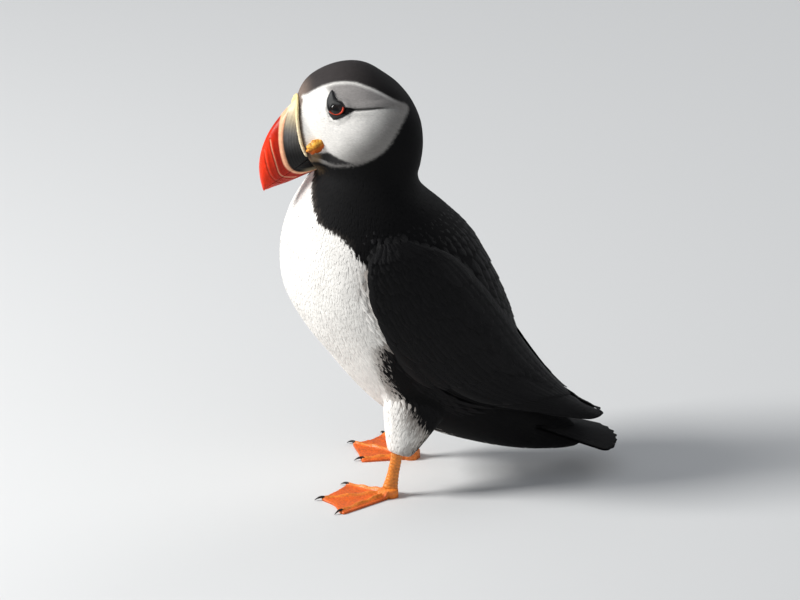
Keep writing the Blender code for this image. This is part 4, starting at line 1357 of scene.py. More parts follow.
class PuffinPlumage(bpy.types.PropertyGroup):
    """Depth and colours of the coat."""

    head_depth: length_setting("Head coat", "Depth of the coat on the head", 0.0006, min=0.0002, max=0.004)
    body_depth: length_setting("Body coat", "Depth of the coat on the body", 0.0012, min=0.0005, max=0.006)
    black: colour_setting("Black", "Back, collar and wings", 0.0036, 0.0034, 0.0036)
    # The crown's own dark grey-brown, lightened towards the front as painted sheen.
    crown_tone_and_sheen: colour_setting("Crown", "Top of the head", 0.045, 0.039, 0.038)
    # Partly the brow's own paler feathers, partly painted highlight.
    brow_and_highlight: colour_setting("Brow", "Pale feathers over the bill's base", 0.36, 0.27, 0.22)
    white: colour_setting("White", "Face, breast and belly", 0.84, 0.81, 0.76)
    face_grey: colour_setting("Face grey", "Behind and above the eye", 0.31, 0.29, 0.275)
    # The rear cheek's own grey, darkened with painted shade.
    cheek_grey_and_shade: colour_setting("Cheek, rear", "Where the face turns grey", 0.19, 0.18, 0.168)
    # The smudge below the rosette, deepened with painted shadow.
    cheek_smudge_and_shadow: colour_setting("Cheek shade", "Below the rosette", 0.020, 0.019, 0.019)
    rim_line: colour_setting("Rim line", "Dark line behind the bill's rim", 0.11, 0.06, 0.035)
    gape: colour_setting("Gape", "Skin below the rosette and on the chin", 0.16, 0.105, 0.055)
    flank: colour_setting("Flank", "Smudged streaks before the wing", 0.20, 0.165, 0.14)


class PuffinBill(bpy.types.PropertyGroup):
    """Colours of the bill and the bare skin round it."""

    red: colour_setting("Tip", "Outer half of the bill", 0.74, 0.030, 0.003)
    peach: colour_setting("Ridge", "Pale ridge between tip and base", 0.90, 0.45, 0.26)
    slate: colour_setting("Base", "Inner half of the bill", 0.150, 0.145, 0.140)
    # Painted shade on the lower part of the bill's base.
    slate_shaded: colour_setting("Base, low", "Lower part of the inner half", 0.010, 0.0095, 0.009)
    cream: colour_setting("Rim", "Fleshy rim at the base", 0.80, 0.66, 0.43)
    rosette: colour_setting("Rosette", "Folded skin at the gape", 0.52, 0.095, 0.004)
    eye_ring: colour_setting("Eye ring", "Skin round the eye", 0.62, 0.06, 0.025)


class PuffinLegs(bpy.types.PropertyGroup):
    """Colours of the feet."""

    web: colour_setting("Web", "Skin between the toes", 0.80, 0.135, 0.014)
    toe: colour_setting("Toes", "Toes and shanks", 0.88, 0.27, 0.032)
    claw: colour_setting("Claws", "Claws", 0.02, 0.016, 0.014)


class PuffinStage(bpy.types.PropertyGroup):
    """Camera and floor."""

    azimuth: angle_setting("Azimuth", "Camera's turn round the bird", 80)
    elevation: angle_setting("Elevation", "Camera's height over the horizon", 20)
    distance: length_setting("Distance", "Camera to bird", 5.0)
    lens: FloatProperty(name="Lens", description="Focal length in millimetres", default=478.7)
    floor: length_setting("Floor", "Breadth of the floor", 8.0)


# ---------------------------------------------------------------- operators


class PUFFIN_OT_skin(bpy.types.Operator):
    """Makes the one skin of head, neck, trunk and thighs"""

    bl_idname = "puffin.skin"
    bl_label = "Skin"

    def execute(self, context):
        skin = dress_skin(flesh())
        skin.data.shade_smooth()
        skin.data.materials.clear()
        skin.data.materials.append(plumage_finish("down", 0.8, 0.1, 0.05))
        return {"FINISHED"}


class PUFFIN_OT_coat(bpy.types.Operator):
    """Grows the tufts of the body's coat on the skin"""

    bl_idname = "puffin.coat"
    bl_label = "Coat"

    def execute(self, context):
        skin = bpy.data.objects["skin"]
        wiring = coat_tree()
        templates = {kind: tuft_template(kind + "_tuft", rows) for kind, rows in TUFTS.items()}
        finishes = {
            "plumage_black": plumage_finish("feather_dark", 0.7, 0.15, 0.0),
            "plumage_white": plumage_finish("feather_pale", 0.8, 0.03, 0.03),
            "face": plumage_finish("feather_face", 0.7, 0.03, 0.02),
        }
        for (name, region, kind, pitch, length, width, lift, unruly, seed, waver, crisp,
             slot) in COATS:
            tuft = templates[kind]
            coat = grow_coat(
                wiring, skin, name, Region="grow_" + region, Tuft=tuft, Pitch=pitch * MM,
                Length=length * MM, Width=width * MM, Lift=lift, Unruly=unruly, Seed=seed,
                Finish=finishes["face" if region == "face" else slot],
            )
            per = len(tuft.data.vertices)
            colour_coat(coat, per, seed, waver, crisp)
            if region == "legs":
                number = np.arange(len(coat.data.vertices)) // per
                stray = np.random.default_rng(seed).normal(0, 1.4, (number[-1] + 1, 1))[number]
                shade = leg_markings(bird(coordinates(coat.data)) + stray * (1, 0, 0))
                paint(coat, shade * (1 + 0.03 * stray))
            settle(coat, slot)
        for tuft in templates.values():
            bpy.data.objects.remove(tuft)
        strip_attributes(skin.data, "tint")
        settle(skin, "plumage_black", "head", "neck", "trunk", "thigh_left", "thigh_right")
        return {"FINISHED"}


class PUFFIN_OT_wings(bpy.types.Operator):
    """Lays the feathers of both folded wings, the mantle and the flanks"""

    bl_idname = "puffin.wings"
    bl_label = "Wings"

    def execute(self, context):
        tint = np.array(context.scene.puffin_plumage.black) * 1.3
        down = plumage_finish("wing_down", 0.7, 0.1, 0.05)
        vane = vane_finish("wing_vane")
        pale = plumage_finish("flank_feather", 0.8, 0.03, 0.0)
        middle = Vector(place(np.array((-10.0, 0.0, 90.0))))

        def sideways(p):
            return Vector((p.x - middle.x, 0, 0.004))

        def outwards(p):
            return p - middle

        for side, name in SIDES:
            core, points = tube_piece("wing_flesh_" + name, wing_core(side), down)
            paint(core, np.tile(tint * 0.8, (len(points), 1)))
            settle(core, "plumage_black", "wing_" + name)
            wing, body = wing_surface(side), mantle_surface(side)
            for part, tracts, surface, unwrap, finish, seed, way, slot, *nodes in (
                ("wing", wing_tracts(20), wing, wing_unwrap, vane, 31, sideways,
                 "plumage_black", "wing_" + name),
                ("mantle", mantle_tracts(50), body, body_unwrap, vane, 51, outwards,
                 "plumage_black"),
                ("flank", flank_tracts(60), body, body_unwrap, pale, 61, outwards,
                 "plumage_white"),
            ):
                title = f"{part}_feathers_{name}"
                laid = feather_piece(title, tracts, surface, unwrap, finish, tint, seed)
                face_outwards(laid, way)
                settle(laid, slot, *nodes)
        return {"FINISHED"}


class PUFFIN_OT_tail(bpy.types.Operator):
    """Lays the tail's feathers over its thin core"""

    bl_idname = "puffin.tail"
    bl_label = "Tail"

    def execute(self, context):
        tint = np.array(context.scene.puffin_plumage.black)
        core, points = tube_piece(
            "tail_core", tail_core(), plumage_finish("tail_down", 0.7, 0.1, 0.05))
        paint(core, np.tile(tint, (len(points), 1)))
        settle(core, "plumage_black", "tail")
        vane = vane_finish("tail_vane", gloss=0.05)
        laid = feather_piece(
            "tail_feathers", tail_tracts(), tail_surface, tail_unwrap, vane, tint, 41)
        settle(laid, "plumage_black", "tail")
        return {"FINISHED"}


def on_head(spots, side):
    """Scene points from (rearward, upward, outward) millimetres round the eye's centre."""
    spots = np.asarray(spots, float)
    p = EYE_SPOT + spots[..., :1] * EYE_REAR + spots[..., 1:2] * EYE_UP + spots[..., 2:] * EYE_OUT
    p[..., 1] *= side
    return place(p)


def ring_points(radii, heights, squeeze, around):
    """Rings round the eye: radius and height by ring, flattened a little from above."""
    angle = np.arange(around) / around * TURN
    radii, heights = np.array(radii)[:, None], np.array(heights)[:, None]
    across, up = radii * np.cos(angle), radii * squeeze * np.sin(angle)
    return np.stack([across, up, heights + 0 * angle], -1)


def horn_plate(corners, top, foot, rows=10):
    """A domed plate with rounded corners, as rings from its foot over its edge to the middle."""
    line = rounded([(-x, y) for x, y in corners], 2)
    middle = line.mean(0)
    rings = [np.column_stack([line, np.full(len(line), foot)])]
    for turn in np.linspace(0, 1, rows) * math.pi / 2:
        inward = middle + (line - middle) * math.cos(turn * 0.96)
        fall = 0.012 * (inward**2).sum(1)
        rings.append(np.column_stack([inward, foot + (top - foot) * math.sin(turn) ** 0.6 - fall]))
    return np.array(rings)


# The lid's profile from its slit outwards and back: radius, and height over the eye's seat.
LID_RADII = (2.1, 2.2, 2.42, 2.7, 2.95, 3.1, 3.3, 3.5, 3.7, 3.85, 4.0, 4.25, 4.4, 4.3, 3.2)
LID_HEIGHTS = (0.9, 1.22, 1.36, 1.3, 1.15, 1.1, 1.3, 1.38, 1.28, 1.0, 0.7, 0.2, -0.4, -1.2, -1.2)
LID_BEAD = 7  # the ring in the middle of its red bead
# Horny plates: outline, how high they stand, and the colour of their middle.
PLATES = {
    "upper": (UPPER_PLATE, 1.75, (0.085, 0.083, 0.08)),
    "lower": (LOWER_PLATE, 1.35, (0.03, 0.03, 0.03)),
}
PLATE_FOOT, PLATE_DARK = -0.9, (0.022, 0.022, 0.023)
PUPIL, IRIS = (0.001, 0.001, 0.001), (0.008, 0.0045, 0.003)


def lid_shape():
    """Points and faces of the lid, a beaded ring round the slit of the eye."""
    rings = ring_points(LID_RADII, LID_HEIGHTS, LID_SQUEEZE, 96) + (0, LID_RAISE, 0)
    turn = np.arctan2(rings[..., 1] - LID_RAISE, rings[..., 0])
    bead = (np.abs(np.arange(len(rings)) - LID_BEAD) < 2.5)[:, None]
    rings[..., 2] += 0.05 * np.sin(turn * 23 + np.sin(turn * 5)) * bead
    rows, count = rings.shape[:2]
    last = (rows - 1) * count
    faces = tube_faces(rows, count)
    faces += [(last + i, last + (i + 1) % count, (i + 1) % count, i) for i in range(count)]
    return rings.reshape(-1, 3), faces


def lid_colours(points, red):
    """The lid's colours: dark by the slit, a red bead below it, and the face's own outside."""
    rearward, upward, _ = points.T
    away = np.hypot(rearward, (upward - LID_RAISE) / LID_SQUEEZE)
    low_side = step(0.9, -0.3, upward - 0.35 * rearward + 0.2)
    bead = step(2.95, 3.15, away) * step(4.0, 3.75, away) * low_side
    low_rear = step(-2.6, -1.0, rearward) * step(-0.2, -1.0, upward)
    outer = step(3.85, 4.1, away) * (1 - low_rear)
    around = np.full(len(points), EYE_STATION), np.full(len(points), EYE_ANGLE)
    skirt = markings(bird(on_head(points, 1)), *around) * (1 - 0.7 * step(0, 3, points[:, :1]))
    shade = blend((0.012, 0.010, 0.010), skirt, outer)
    glow = 0.7 + 0.4 * step(-2.5, 2.5, rearward - upward * 0.5)
    return blend(shade, red, bead) * glow[:, None]


class PUFFIN_OT_eyes(bpy.types.Operator):
    """Makes the eyeballs, lids, red rings and horny plates"""

    bl_idname = "puffin.eyes"
    bl_label = "Eyes"

    def execute(self, context):
        red = context.scene.puffin_bill.eye_ring
        glass = glass_finish("eyeball")
        ring_finish = horn_finish("eye_ring_skin", 0.42, 1500.0, 0.00012)
        plate_finish = horn_finish("eye_plate_horn", 0.5, 1100.0, 0.00015)
        rows = np.linspace(0.001, math.pi - 0.001, 40)
        heights = EYE_RADIUS * np.cos(rows) - EYE_SUNK
        ball = ring_points(EYE_RADIUS * np.sin(rows), heights, 1.0, 64)
        for side, name in SIDES:
            def lay(spots):
                return on_head(spots, side)

            eye, points = tube_piece("eyeball_" + name, ball, glass, lay)
            away = np.linalg.norm(points[:, :2], axis=1)
            paint(eye, blend(PUPIL, IRIS, step(1.2, 1.45, away)))
            settle(eye, "eye", "eye_" + name)

            points, faces = lid_shape()
            lid = add_piece("eye_lid_" + name, lay(points), faces, ring_finish)
            paint(lid, lid_colours(points, red))
            settle(lid, "eye_ring", "eye_ring_" + name)

            for part, (corners, high, pale) in PLATES.items():
                rings = horn_plate(corners, high, PLATE_FOOT)
                plate, points = tube_piece(f"eye_horn_{part}_{name}", rings, plate_finish, lay)
                rows, around = rings.shape[:2]
                inward = np.minimum(np.arange(len(points)) // around / rows, 1)
                paint(plate, blend(PLATE_DARK, pale, step(0.3, 1.0, inward)))
                settle(plate, "bill_slate", f"eye_plate_{part}_{name}")
        return {"FINISHED"}


# The bill's bands and grooves in the side view, from the ridge down.
PEACH_BACK = (
    (45.6, 191.0), (46.9, 188.1), (49.7, 181.5), (51.1, 172.7), (50.1, 165.2), (47.7, 158.5),
    (43.4, 156.1), (36.5, 156.7), (33.0, 158.0),
)
PEACH_FRONT = (
    (47.8, 190.0), (49.2, 187.1), (52.6, 180.5), (53.6, 172.7), (52.6, 164.6), (50.5, 158.2),
    (44.3, 154.4), (37.8, 155.0), (33.0, 156.6),
)
AHEAD_OF_BILL = ((30, 140), (80, 140), (80, 205), (50, 200))
BEHIND_BILL = ((30, 162), (20, 180), (30, 200), (44, 198))
GROOVES = (  # with how pale each is
    (((57.0, 171.9), (56.5, 167.5), (55.4, 163.5), (53.9, 158.0), (52.8, 155.0), (50.4, 153.4),
      (45.0, 153.0)), 0.75),
    (((59.6, 167.0), (59.0, 161.0), (57.6, 155.8), (55.2, 152.2), (52.0, 150.8)), 0.12),
)
MANDIBLE_SLIT = 0.12
RIM_BACK = 0.6
RIM_YELLOW, RIM_GROOVE = (0.86, 0.70, 0.26), (0.50, 0.34, 0.22)
ROSETTE_SHIFT = (0.6, 0, 1.3)
ROSETTE_YELLOW, ROSETTE_SPOTS = (0.92, 0.50, 0.07), (0.55, 0.09, 0.008)


def bill_paint(points):
    """Colour and relief of the bill at bird points, from the side view."""
    bill = bpy.context.scene.puffin_bill
    view = points[:, (0, 2)]
    forward, up = view.T
    peach, cream = np.array(bill.peach), np.array(bill.cream)
    red = depth_inside(view, rounded(np.vstack([PEACH_FRONT, AHEAD_OF_BILL]), 2))
    slate = depth_inside(view, rounded(np.vstack([PEACH_BACK, BEHIND_BILL]), 2))
    # Painted shade: the bill's base is painted far darker towards its lower part.
    colour = blend(bill.slate, bill.slate_shaded, step(178, 164, up))
    colour = blend(colour, cream * 0.95, 0.95 * step(174, 188, up))
    fleshy = step(158.8, 156.6, up + 0.12 * (forward - 36)) * step(44, 38, forward)
    colour = blend(colour, cream * 0.5, 0.8 * fleshy)
    colour = blend(colour, peach, step(0.2, 0.9, -slate))
    deep = np.array(bill.red) * (0.55, 0.45, 0.6)
    tone = blend(bill.red, deep, step(60, 53, forward))
    colour = blend(colour, tone, step(-0.25, 0.35, red))
    relief = 0.45 * step(1.3, 0.2, np.abs((red - slate) / 2)) * (red < 1.3) * (slate < 1.3)
    for groove, pale in GROOVES:
        away = line_distance(view, rounded(groove, 3, closed=False))
        colour = blend(colour, peach * 0.9, pale * step(0.40, 0.12, away) * (red > 0.6))
        relief = relief - 0.30 * step(0.7, 0.1, away) * (red > 0.4)
        relief = relief + 0.14 * step(1.7, 0.8, away) * (red > 0.4)
    relief = relief + 0.035 * np.sin(slate * 5.0) * (slate > 0)
    return colour, relief


def mandible(upper):
    """Rings of one mandible, from inside the head to the tip: an arc and a flat inner face."""
    where = np.concatenate([np.linspace(0.25, 7.6, 190), np.linspace(7.63, 8.0, 18)])
    top, foot = (smooth_between([s[i] for s in BILL_SLICES], where) for i in (0, 1))
    half = np.maximum(smooth_between([[s[2]] for s in BILL_SLICES], where)[:, 0], 0.35)
    middle, reach = (top + foot) / 2, (top - foot) / 2
    run = unit(BILL_TIP - GAPE_CORNER)
    up = np.array((-run[1], run[0]))
    mid_height = (middle - GAPE_CORNER) @ up - (MANDIBLE_SLIT if upper else -MANDIBLE_SLIT)
    edge = np.arccos(np.clip(-mid_height / np.maximum(reach @ up, 1e-6), -0.995, 0.995))
    share = np.linspace(-1, 1, 129)
    angle = share * edge[:, None] if upper else np.pi + share * (np.pi - edge[:, None])
    view = middle[:, None] + reach[:, None] * np.cos(angle)[..., None]
    arc = np.stack([view[..., 0], half[:, None] * np.sin(angle), view[..., 1]], -1)
    share = np.linspace(1, -1, 13)[None, 1:-1, None]
    inner = (arc[:, -1:] * (1 + share) + arc[:, :1] * (1 - share)) / 2
    return arc, inner


def bill_rim(finish, cream):
    """The warty rim at the bill's base."""
    half = np.array(RIM_PATH)
    whole = np.vstack([half, half[-2::-1] * (1, -1, 1)])
    where = np.linspace(0, len(whole) - 1, 260)
    path = smooth_between(whole, where)
    path[:, 0] -= RIM_BACK
    ripple = 1 + 0.05 * np.sin(where * 11) + 0.03 * np.sin(where * 23 + 1)
    ends = np.sqrt(np.clip(np.minimum(where, len(whole) - 1 - where) / 0.25, 0.02, 1))
    rings = swept(path, 1.3 * ripple * ends, 0.52 * RIM_RADIUS * ripple * ends, 32, (1, 0, 0))
    around = np.arange(32)[None] / 32 * TURN
    warts = np.sin(where[:, None] * 27 + 3 * around) * np.sin(where[:, None] * 19 - 2 * around)
    rings += unit(rings - path[:, None]) * (0.05 * warts * ends[:, None])[..., None]
    rim, points = tube_piece("rim_of_bill", rings, finish)
    groove = np.interp(points[:, 2], half[:, 2], half[:, 0]) - RIM_BACK - points[:, 0]
    tint = blend(cream, RIM_YELLOW, 0.6 * step(176, 192, points[:, 2]))
    tint = blend(tint, RIM_GROOVE, 0.75 * step(0.35, 0.9, groove))
    rough = np.append(warts.ravel(), (0, 0))
    paint(rim, tint * (0.93 + 0.09 * rough)[:, None])
    return rim


def rosette_fold(side, name, finish, orange):
    """The folded skin at one corner of the gape."""
    slope = math.radians(ROSETTE_SLOPE)
    fore = np.array((math.cos(slope), 0, -math.sin(slope)))
    high = np.array((math.sin(slope), 0, math.cos(slope)))
    rows, around = np.linspace(0.002, np.pi - 0.002, 48), np.arange(72) / 72 * TURN
    lat, turn = np.meshgrid(rows, around, indexing="ij")
    x, z, y = np.sin(lat) * np.cos(turn), np.sin(lat) * np.sin(turn), np.cos(lat)
    lobes = 0.07 * np.cos(turn * 7 + 1.2 * np.sin(turn)) * np.sin(lat) ** 2
    swell = 1 + lobes + 0.03 * np.sin(turn * 13)
    fold = 0.35 * np.abs(np.sin(z * 3.4 + 0.6 * x)) ** 0.7 + 0.12 * np.sin(x * 7 + 3 * z)
    long, deep, tall = ROSETTE_HALF
    ball = fore * (x * swell * long)[..., None] + high * (z * swell * tall)[..., None]
    ball = ball + np.array((0, 1.0, 0)) * (y * (deep - 0.55 + fold))[..., None]
    rings = (np.array(ROSETTE) + ROSETTE_SHIFT + ball) * (1, side, 1)
    made, points = tube_piece("rosette_fold_" + name, rings, finish)
    # Painted shade in the hollows of the folds, and a little painted highlight on their ridges.
    shade = np.append((0.62 + 0.38 * fold * 2).ravel(), (0.8, 0.8)).clip(0, 1.1)
    above = points[:, 2] + 0.5 * (points[:, 0] - 37)
    tint = blend(orange, ROSETTE_YELLOW, step(169.5, 173.5, above))
    waves = [np.sin(points @ way) for way in ((2.9, 1.3, 1.9), (-1.7, 2.1, 3.3), (5.1, 3.3, -4.4))]
    spots = waves[0] * waves[1] + 0.4 * waves[2]
    paint(made, blend(tint, ROSETTE_SPOTS, 0.7 * step(0.1, 0.75, spots)) * shade[:, None])
    return made


class PUFFIN_OT_bill(bpy.types.Operator):
    """Makes both mandibles, the rim at their base and the rosettes"""

    bl_idname = "puffin.bill"
    bl_label = "Bill"

    def execute(self, context):
        bill = context.scene.puffin_bill
        horn = horn_finish("bill_horn", 0.38, 500.0, 0.00008)
        for half in ("upper", "lower"):
            arc, inner = mandible(half == "upper")
            spots = arc.reshape(-1, 3)
            sunk = np.abs(spots[:, 1])
            out = spots * (0, 1, 0) * step(0.3, 2.5, sunk)[:, None]
            relief = bill_paint(spots)[1] * step(0.2, 1.5, sunk)
            raised = (spots + unit(out) * relief[:, None]).reshape(arc.shape)
            made, points = tube_piece("mandible_" + half, np.hstack([raised, inner]), horn)
            paint(made, bill_paint(points)[0])
            settle(made, "bill_red", "bill_" + half)
        rim = bill_rim(horn_finish("rim_skin", 0.5, 1600.0, 0.0002), bill.cream)
        settle(rim, "bill_rim", "bill_rim")
        folds = horn_finish("rosette_skin", 0.45, 1300.0, 0.0002)
        for side, name in SIDES:
            fold = rosette_fold(side, name, folds, bill.rosette)
            settle(fold, "skin_orange", "rosette_" + name)
        return {"FINISHED"}


SOLE_HIGH, HEEL_HIGH, WEB_THICK = 0.0, 5.0, 0.95
TOE_HALF, TOE_TIP_HALF, TOE_HIGH, TOE_TIP_HIGH = 2.5, 1.6, 3.4, 1.9
SHANK_HALF = (3.0, 2.3)  # fore and aft, and across
SHANK_SWELL = ((0, 0.12, 0.3, 0.6, 0.85, 1), (1.2, 1.04, 0.9, 0.88, 1.08, 1.18))
CLAW_HALF, CLAW_HIGH, CLAW_INSIDE = 0.95, 1.25, 1.6


def toe_lines(name):
    """Name, start, run over the floor and length of a foot's toes."""
    sign = 1 if name == "left" else -1
    heel = np.array(HEEL[name])
    lines = []
    for toe, spread, length in TOES:
        angle = math.radians(SPLAY[name] + spread)
        lines.append((toe, heel, np.array((math.cos(angle), sign * math.sin(angle))), length))
    return lines


def foot_shape(name):
    """Points, faces and colours of a webbed foot, a low relief over a flat sole."""
    legs = bpy.context.scene.puffin_legs
    sign = 1 if name == "left" else -1
    lines = toe_lines(name)
    heel = lines[0][1]
    turns = [math.radians(SPLAY[name] + spread) for _, spread, _ in TOES]
    fan = np.linspace(turns[0], turns[-1], 150)
    sides = np.radians(np.concatenate([np.linspace(0.5, 8, 16), np.linspace(9, 112, 30)]))
    turn = np.concatenate([turns[0] - sides[::-1], fan, turns[-1] + sides])
    reach = np.array([web_reach(t, turns) for t in turn])
    share = np.linspace(0.05, 1, 60)
    run = np.stack([np.cos(turn), sign * np.sin(turn)], 1)
    flat = heel + run[:, None] * (reach[:, None] * share)[..., None]
    high, ridge = (a.reshape(flat.shape[:2]) for a in foot_height(flat.reshape(-1, 2), lines, sign))
    high = high * np.where(share > 0.985, 0.72, 1.0)
    top = np.concatenate([flat, high[..., None]], -1)
    hem = np.concatenate([flat[:, -1:], np.full((len(turn), 1, 1), SOLE_HIGH)], -1)
    rows = np.concatenate([top, hem], 1)
    count, per = rows.shape[:2]
    points = np.vstack([rows.reshape(-1, 3), (*heel, HEEL_HIGH), (*heel, SOLE_HIGH)])
    faces = []
    for i in range(count):
        a, b = i * per, (i + 1) % count * per
        faces.append((count * per, a, b))
        faces += [(a + j, a + j + 1, b + j + 1, b + j) for j in range(per - 1)]
        faces.append((count * per + 1, b + per - 1, a + per - 1))
    tone = np.append(np.hstack([ridge, ridge[:, -1:]]).ravel(), (1.0, 1.0))
    return points, faces, blend(legs.web, legs.toe, tone)


def web_reach(turn, turns):
    """How far the foot goes from the heel in a direction: out to the toes and the web's hem."""
    lengths = [length for *_, length in TOES]
    half_tip = math.atan2(TOE_TIP_HALF, lengths[1])
    if turn <= turns[0] - half_tip or turn >= turns[-1] + half_tip:
        beyond = min(abs(turn - turns[0]), abs(turn - turns[-1]))
        longest = lengths[0] if turn < turns[0] else lengths[-1]
        side = TOE_HALF / math.sin(min(beyond, math.pi / 2))
        return max(HEEL_HALF, min(longest, side))
    turn = min(max(turn, turns[0]), turns[-1])
    first = 0 if turn <= turns[1] else 1
    share = (turn - turns[first]) / (turns[first + 1] - turns[first])
    reach = lengths[first] + (lengths[first + 1] - lengths[first]) * share
    return reach * (1 - WEB_SAG * math.sin(math.pi * share))


def foot_height(p, lines, sign):
    """Height of the foot over floor points, and how much of a toe each one is."""
    off = p - lines[0][1]
    far = np.linalg.norm(off, axis=1)
    turn = np.arctan2(sign * off[:, 1], off[:, 0])
    folds = 0.16 * np.sin(turn * 27 + 0.05 * far) * step(5, 16, far)
    folds = folds + 0.06 * np.sin(turn * 71 + far * 0.3)
    wrinkle = 0.06 * np.sin(far * 2.1 + 3 * np.sin(turn * 4))
    high = WEB_THICK + (folds + wrinkle) * 0.9
    ridge = np.zeros(len(p))
    for _, _, run, length in lines:
        along = off @ run
        share = np.clip(along / length, 0, 1)
        away = np.linalg.norm(off - run * along[:, None], axis=1)
        half = (TOE_HALF + (TOE_TIP_HALF - TOE_HALF) * share) * 1.25
        joints = 1 + 0.12 * np.cos(share * TURN * 3.2) * step(0.1, 0.3, share)
        top = (TOE_HIGH + (TOE_TIP_HIGH - TOE_HIGH) * share) * joints
        scutes = 0.06 * np.sin(along * 5.5)
        bulge = np.exp(-((away / (0.46 * half)) ** 2)) + 0.35 * np.exp(-((away / half) ** 2))
        over = WEB_THICK + (top + scutes - WEB_THICK) * bulge / 1.35
        inside = (along > 0) * step(length + 0.6, length - 0.6, along)
        high = np.maximum(high, over * inside)
        ridge = np.maximum(ridge, step(0.25, 0.95, bulge) * inside)
    near = far / (HEEL_HALF * 1.6)
    high = np.maximum(high, HEEL_HIGH * np.sqrt(np.clip(1 - near**2, 0, 1)))
    return high, np.maximum(0.75 * ridge, 0.8 * step(1.0, 0.5, near))


def shank_shape(name):
    """Rings of a shank, and how deep each place is in the grooves between its scutes."""
    heel, left = HEEL[name]
    t = np.linspace(0, 1, 90)
    low = HEEL_UP - 1.2
    path = np.stack([heel - HOCK_BACK * t, left + 0 * t, low + (HOCK_UP - low) * t], 1)
    swell = np.interp(t, *SHANK_SWELL)
    rings = swept(path, SHANK_HALF[0] * swell, SHANK_HALF[1] * swell, 40, (0, 1, 0))
    angle = np.arange(40) / 40 * TURN
    scutes = 0.10 * np.abs(np.sin(t[:, None] * 46)) * (0.5 + 0.5 * np.abs(np.cos(angle)))
    middle = path[:, None]
    return middle + (rings - middle) * (1 + (scutes - 0.05) * 0.7)[..., None], scutes


def claw_rings(start, run, length):
    """Rings of a claw that goes on from the end of a toe and curves down to the floor."""
    share = np.linspace(0, 1, 28)
    out = length - CLAW_INSIDE + CLAW_LONG * share
    up = CLAW_HIGH + 0.55 * np.sin(np.pi * share) - 0.9 * share**2
    centre = np.stack([start[0] + run[0] * out, start[1] + run[1] * out, up], 1)
    half = CLAW_HALF * (1 - 0.86 * share**1.2)
    rings = swept(centre, half, half * 0.85, 16, (0, 0, 1))
    rings[..., 2] = np.maximum(rings[..., 2], 0.02)
    return rings


class PUFFIN_OT_legs(bpy.types.Operator):
    """Makes the shanks, webbed feet and claws"""

    bl_idname = "puffin.legs"
    bl_label = "Legs"

    def execute(self, context):
        legs = context.scene.puffin_legs
        skin = scaled_finish("leg_skin", 0.42)
        horn = horn_finish("claw_horn", 0.5, 900.0, 0.0001)
        for _, name in SIDES:
            rings, scutes = shank_shape(name)
            shank, _ = tube_piece("leg_" + name, rings, skin)
            # Painted shade: the shank is painted darker in the grooves between its scutes.
            tone = np.append(0.78 + 2.4 * scutes, (1, 1))
            paint(shank, np.array(legs.toe) * tone[:, None])
            settle(shank, "skin_orange", "shank_" + name)

            points, faces, colours = foot_shape(name)
            foot = add_piece("webbed_foot_" + name, place(points), faces, skin)
            paint(foot, colours)
            settle(foot, "skin_orange", "foot_" + name)

            for toe, *line in toe_lines(name):
                claw, points = tube_piece(f"nail_{name}_{toe}", claw_rings(*line), horn)
                paint(claw, np.tile(legs.claw, (len(points), 1)))
                settle(claw, "claw", f"claw_{name}_{toe}")
        return {"FINISHED"}


FLOOR_GREY, WORLD_BLUE, WORLD_LIGHT = (0.66, 0.66, 0.65, 1), (0.82, 0.87, 0.95, 1), 0.36
AIM_RIGHT, AIM_UP, LIGHT_AWAY = 0.0045, 0.083, 1.6
LIGHTS = (  # name, way as shares towards the camera, to its right and up, breadth, watts
    ("key", (0.42, -1.0, 0.62), 0.5, 34.0),
    ("fill", (0.9, 0.8, 0.25), 1.6, 2.0),
    ("rim", (-0.6, 0.7, 0.8), 0.8, 4.0),
)


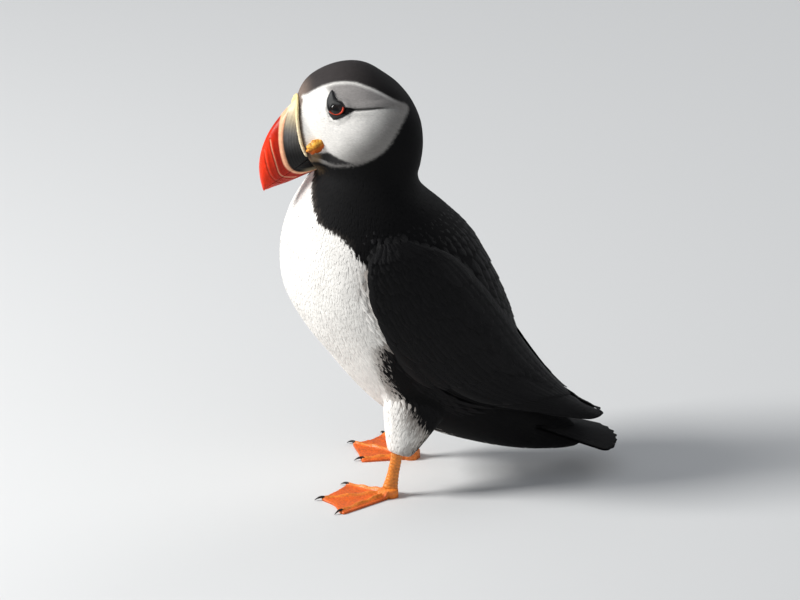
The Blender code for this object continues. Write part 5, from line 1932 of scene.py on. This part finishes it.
class PUFFIN_OT_stage(bpy.types.Operator):
    """Lays the floor and sets the camera and lights"""

    bl_idname = "puffin.stage"
    bl_label = "Stage"

    def execute(self, context):
        stage = context.scene.puffin_stage
        paper = Finish("floor_paper", 0.85)
        paper.shader.inputs["Base Color"].default_value = FLOOR_GREY
        corners = np.array(((-1, -1, 0), (1, -1, 0), (1, 1, 0), (-1, 1, 0))) * stage.floor / 2
        floor = add_piece("floor", corners, [(0, 1, 2, 3)], paper.material, tidy=False)

        a, e = stage.azimuth, stage.elevation
        back = Vector((math.sin(a) * math.cos(e), -math.cos(a) * math.cos(e), math.sin(e)))
        right = Vector((math.cos(a), math.sin(a), 0))
        up = back.cross(right)
        aim = Vector(STANCE) + right * AIM_RIGHT + up * AIM_UP
        camera = show("camera", bpy.data.cameras.new("camera"))
        camera.location = aim + back * stage.distance
        camera.rotation_euler = back.to_track_quat("Z", "Y").to_euler()
        camera.data.lens = stage.lens
        camera.data.clip_end = 50
        context.scene.camera = camera

        for name, (behind, beside, above), breadth, power in LIGHTS:
            way = back * behind + right * beside + up * above
            light = show(name, bpy.data.lights.new(name, "AREA"))
            light.data.energy = power
            light.data.size = breadth
            light.location = aim + way.normalized() * LIGHT_AWAY
            light.rotation_euler = way.to_track_quat("Z", "Y").to_euler()
        world = bpy.data.worlds.new("studio")
        world.use_nodes = True
        background = world.node_tree.nodes["Background"]
        background.inputs[0].default_value = WORLD_BLUE
        background.inputs[1].default_value = WORLD_LIGHT
        context.scene.world = world
        context.scene.view_settings.view_transform = "Standard"
        return {"FINISHED"}


class PUFFIN_PT_panel(bpy.types.Panel):
    """The puffin's settings and operators"""

    bl_idname = "PUFFIN_PT_panel"
    bl_label = "Puffin"
    bl_space_type = "VIEW_3D"
    bl_region_type = "UI"
    bl_category = "Puffin"

    def draw(self, context):
        for group in GROUPS:
            box = self.layout.box()
            settings = getattr(context.scene, group)
            for key in settings.bl_rna.properties.keys():
                if key not in ("rna_type", "name"):
                    box.prop(settings, key)
        for operator in OPERATORS:
            self.layout.operator(operator.bl_idname)


GROUPS = {
    "puffin_plumage": PuffinPlumage,
    "puffin_bill": PuffinBill,
    "puffin_legs": PuffinLegs,
    "puffin_stage": PuffinStage,
}
OPERATORS = (
    PUFFIN_OT_skin, PUFFIN_OT_coat, PUFFIN_OT_wings, PUFFIN_OT_tail, PUFFIN_OT_eyes,
    PUFFIN_OT_bill, PUFFIN_OT_legs, PUFFIN_OT_stage,
)


def register():
    for made in (*GROUPS.values(), *OPERATORS, PUFFIN_PT_panel):
        bpy.utils.register_class(made)
    for name, group in GROUPS.items():
        setattr(bpy.types.Scene, name, PointerProperty(type=group))


def unregister():
    for name in GROUPS:
        delattr(bpy.types.Scene, name)
    for made in reversed((*GROUPS.values(), *OPERATORS, PUFFIN_PT_panel)):
        bpy.utils.unregister_class(made)


def main():
    register()
    for operator in OPERATORS:
        group, name = operator.bl_idname.split(".")
        getattr(getattr(bpy.ops, group), name)()


if __name__ == "__main__":
    main()
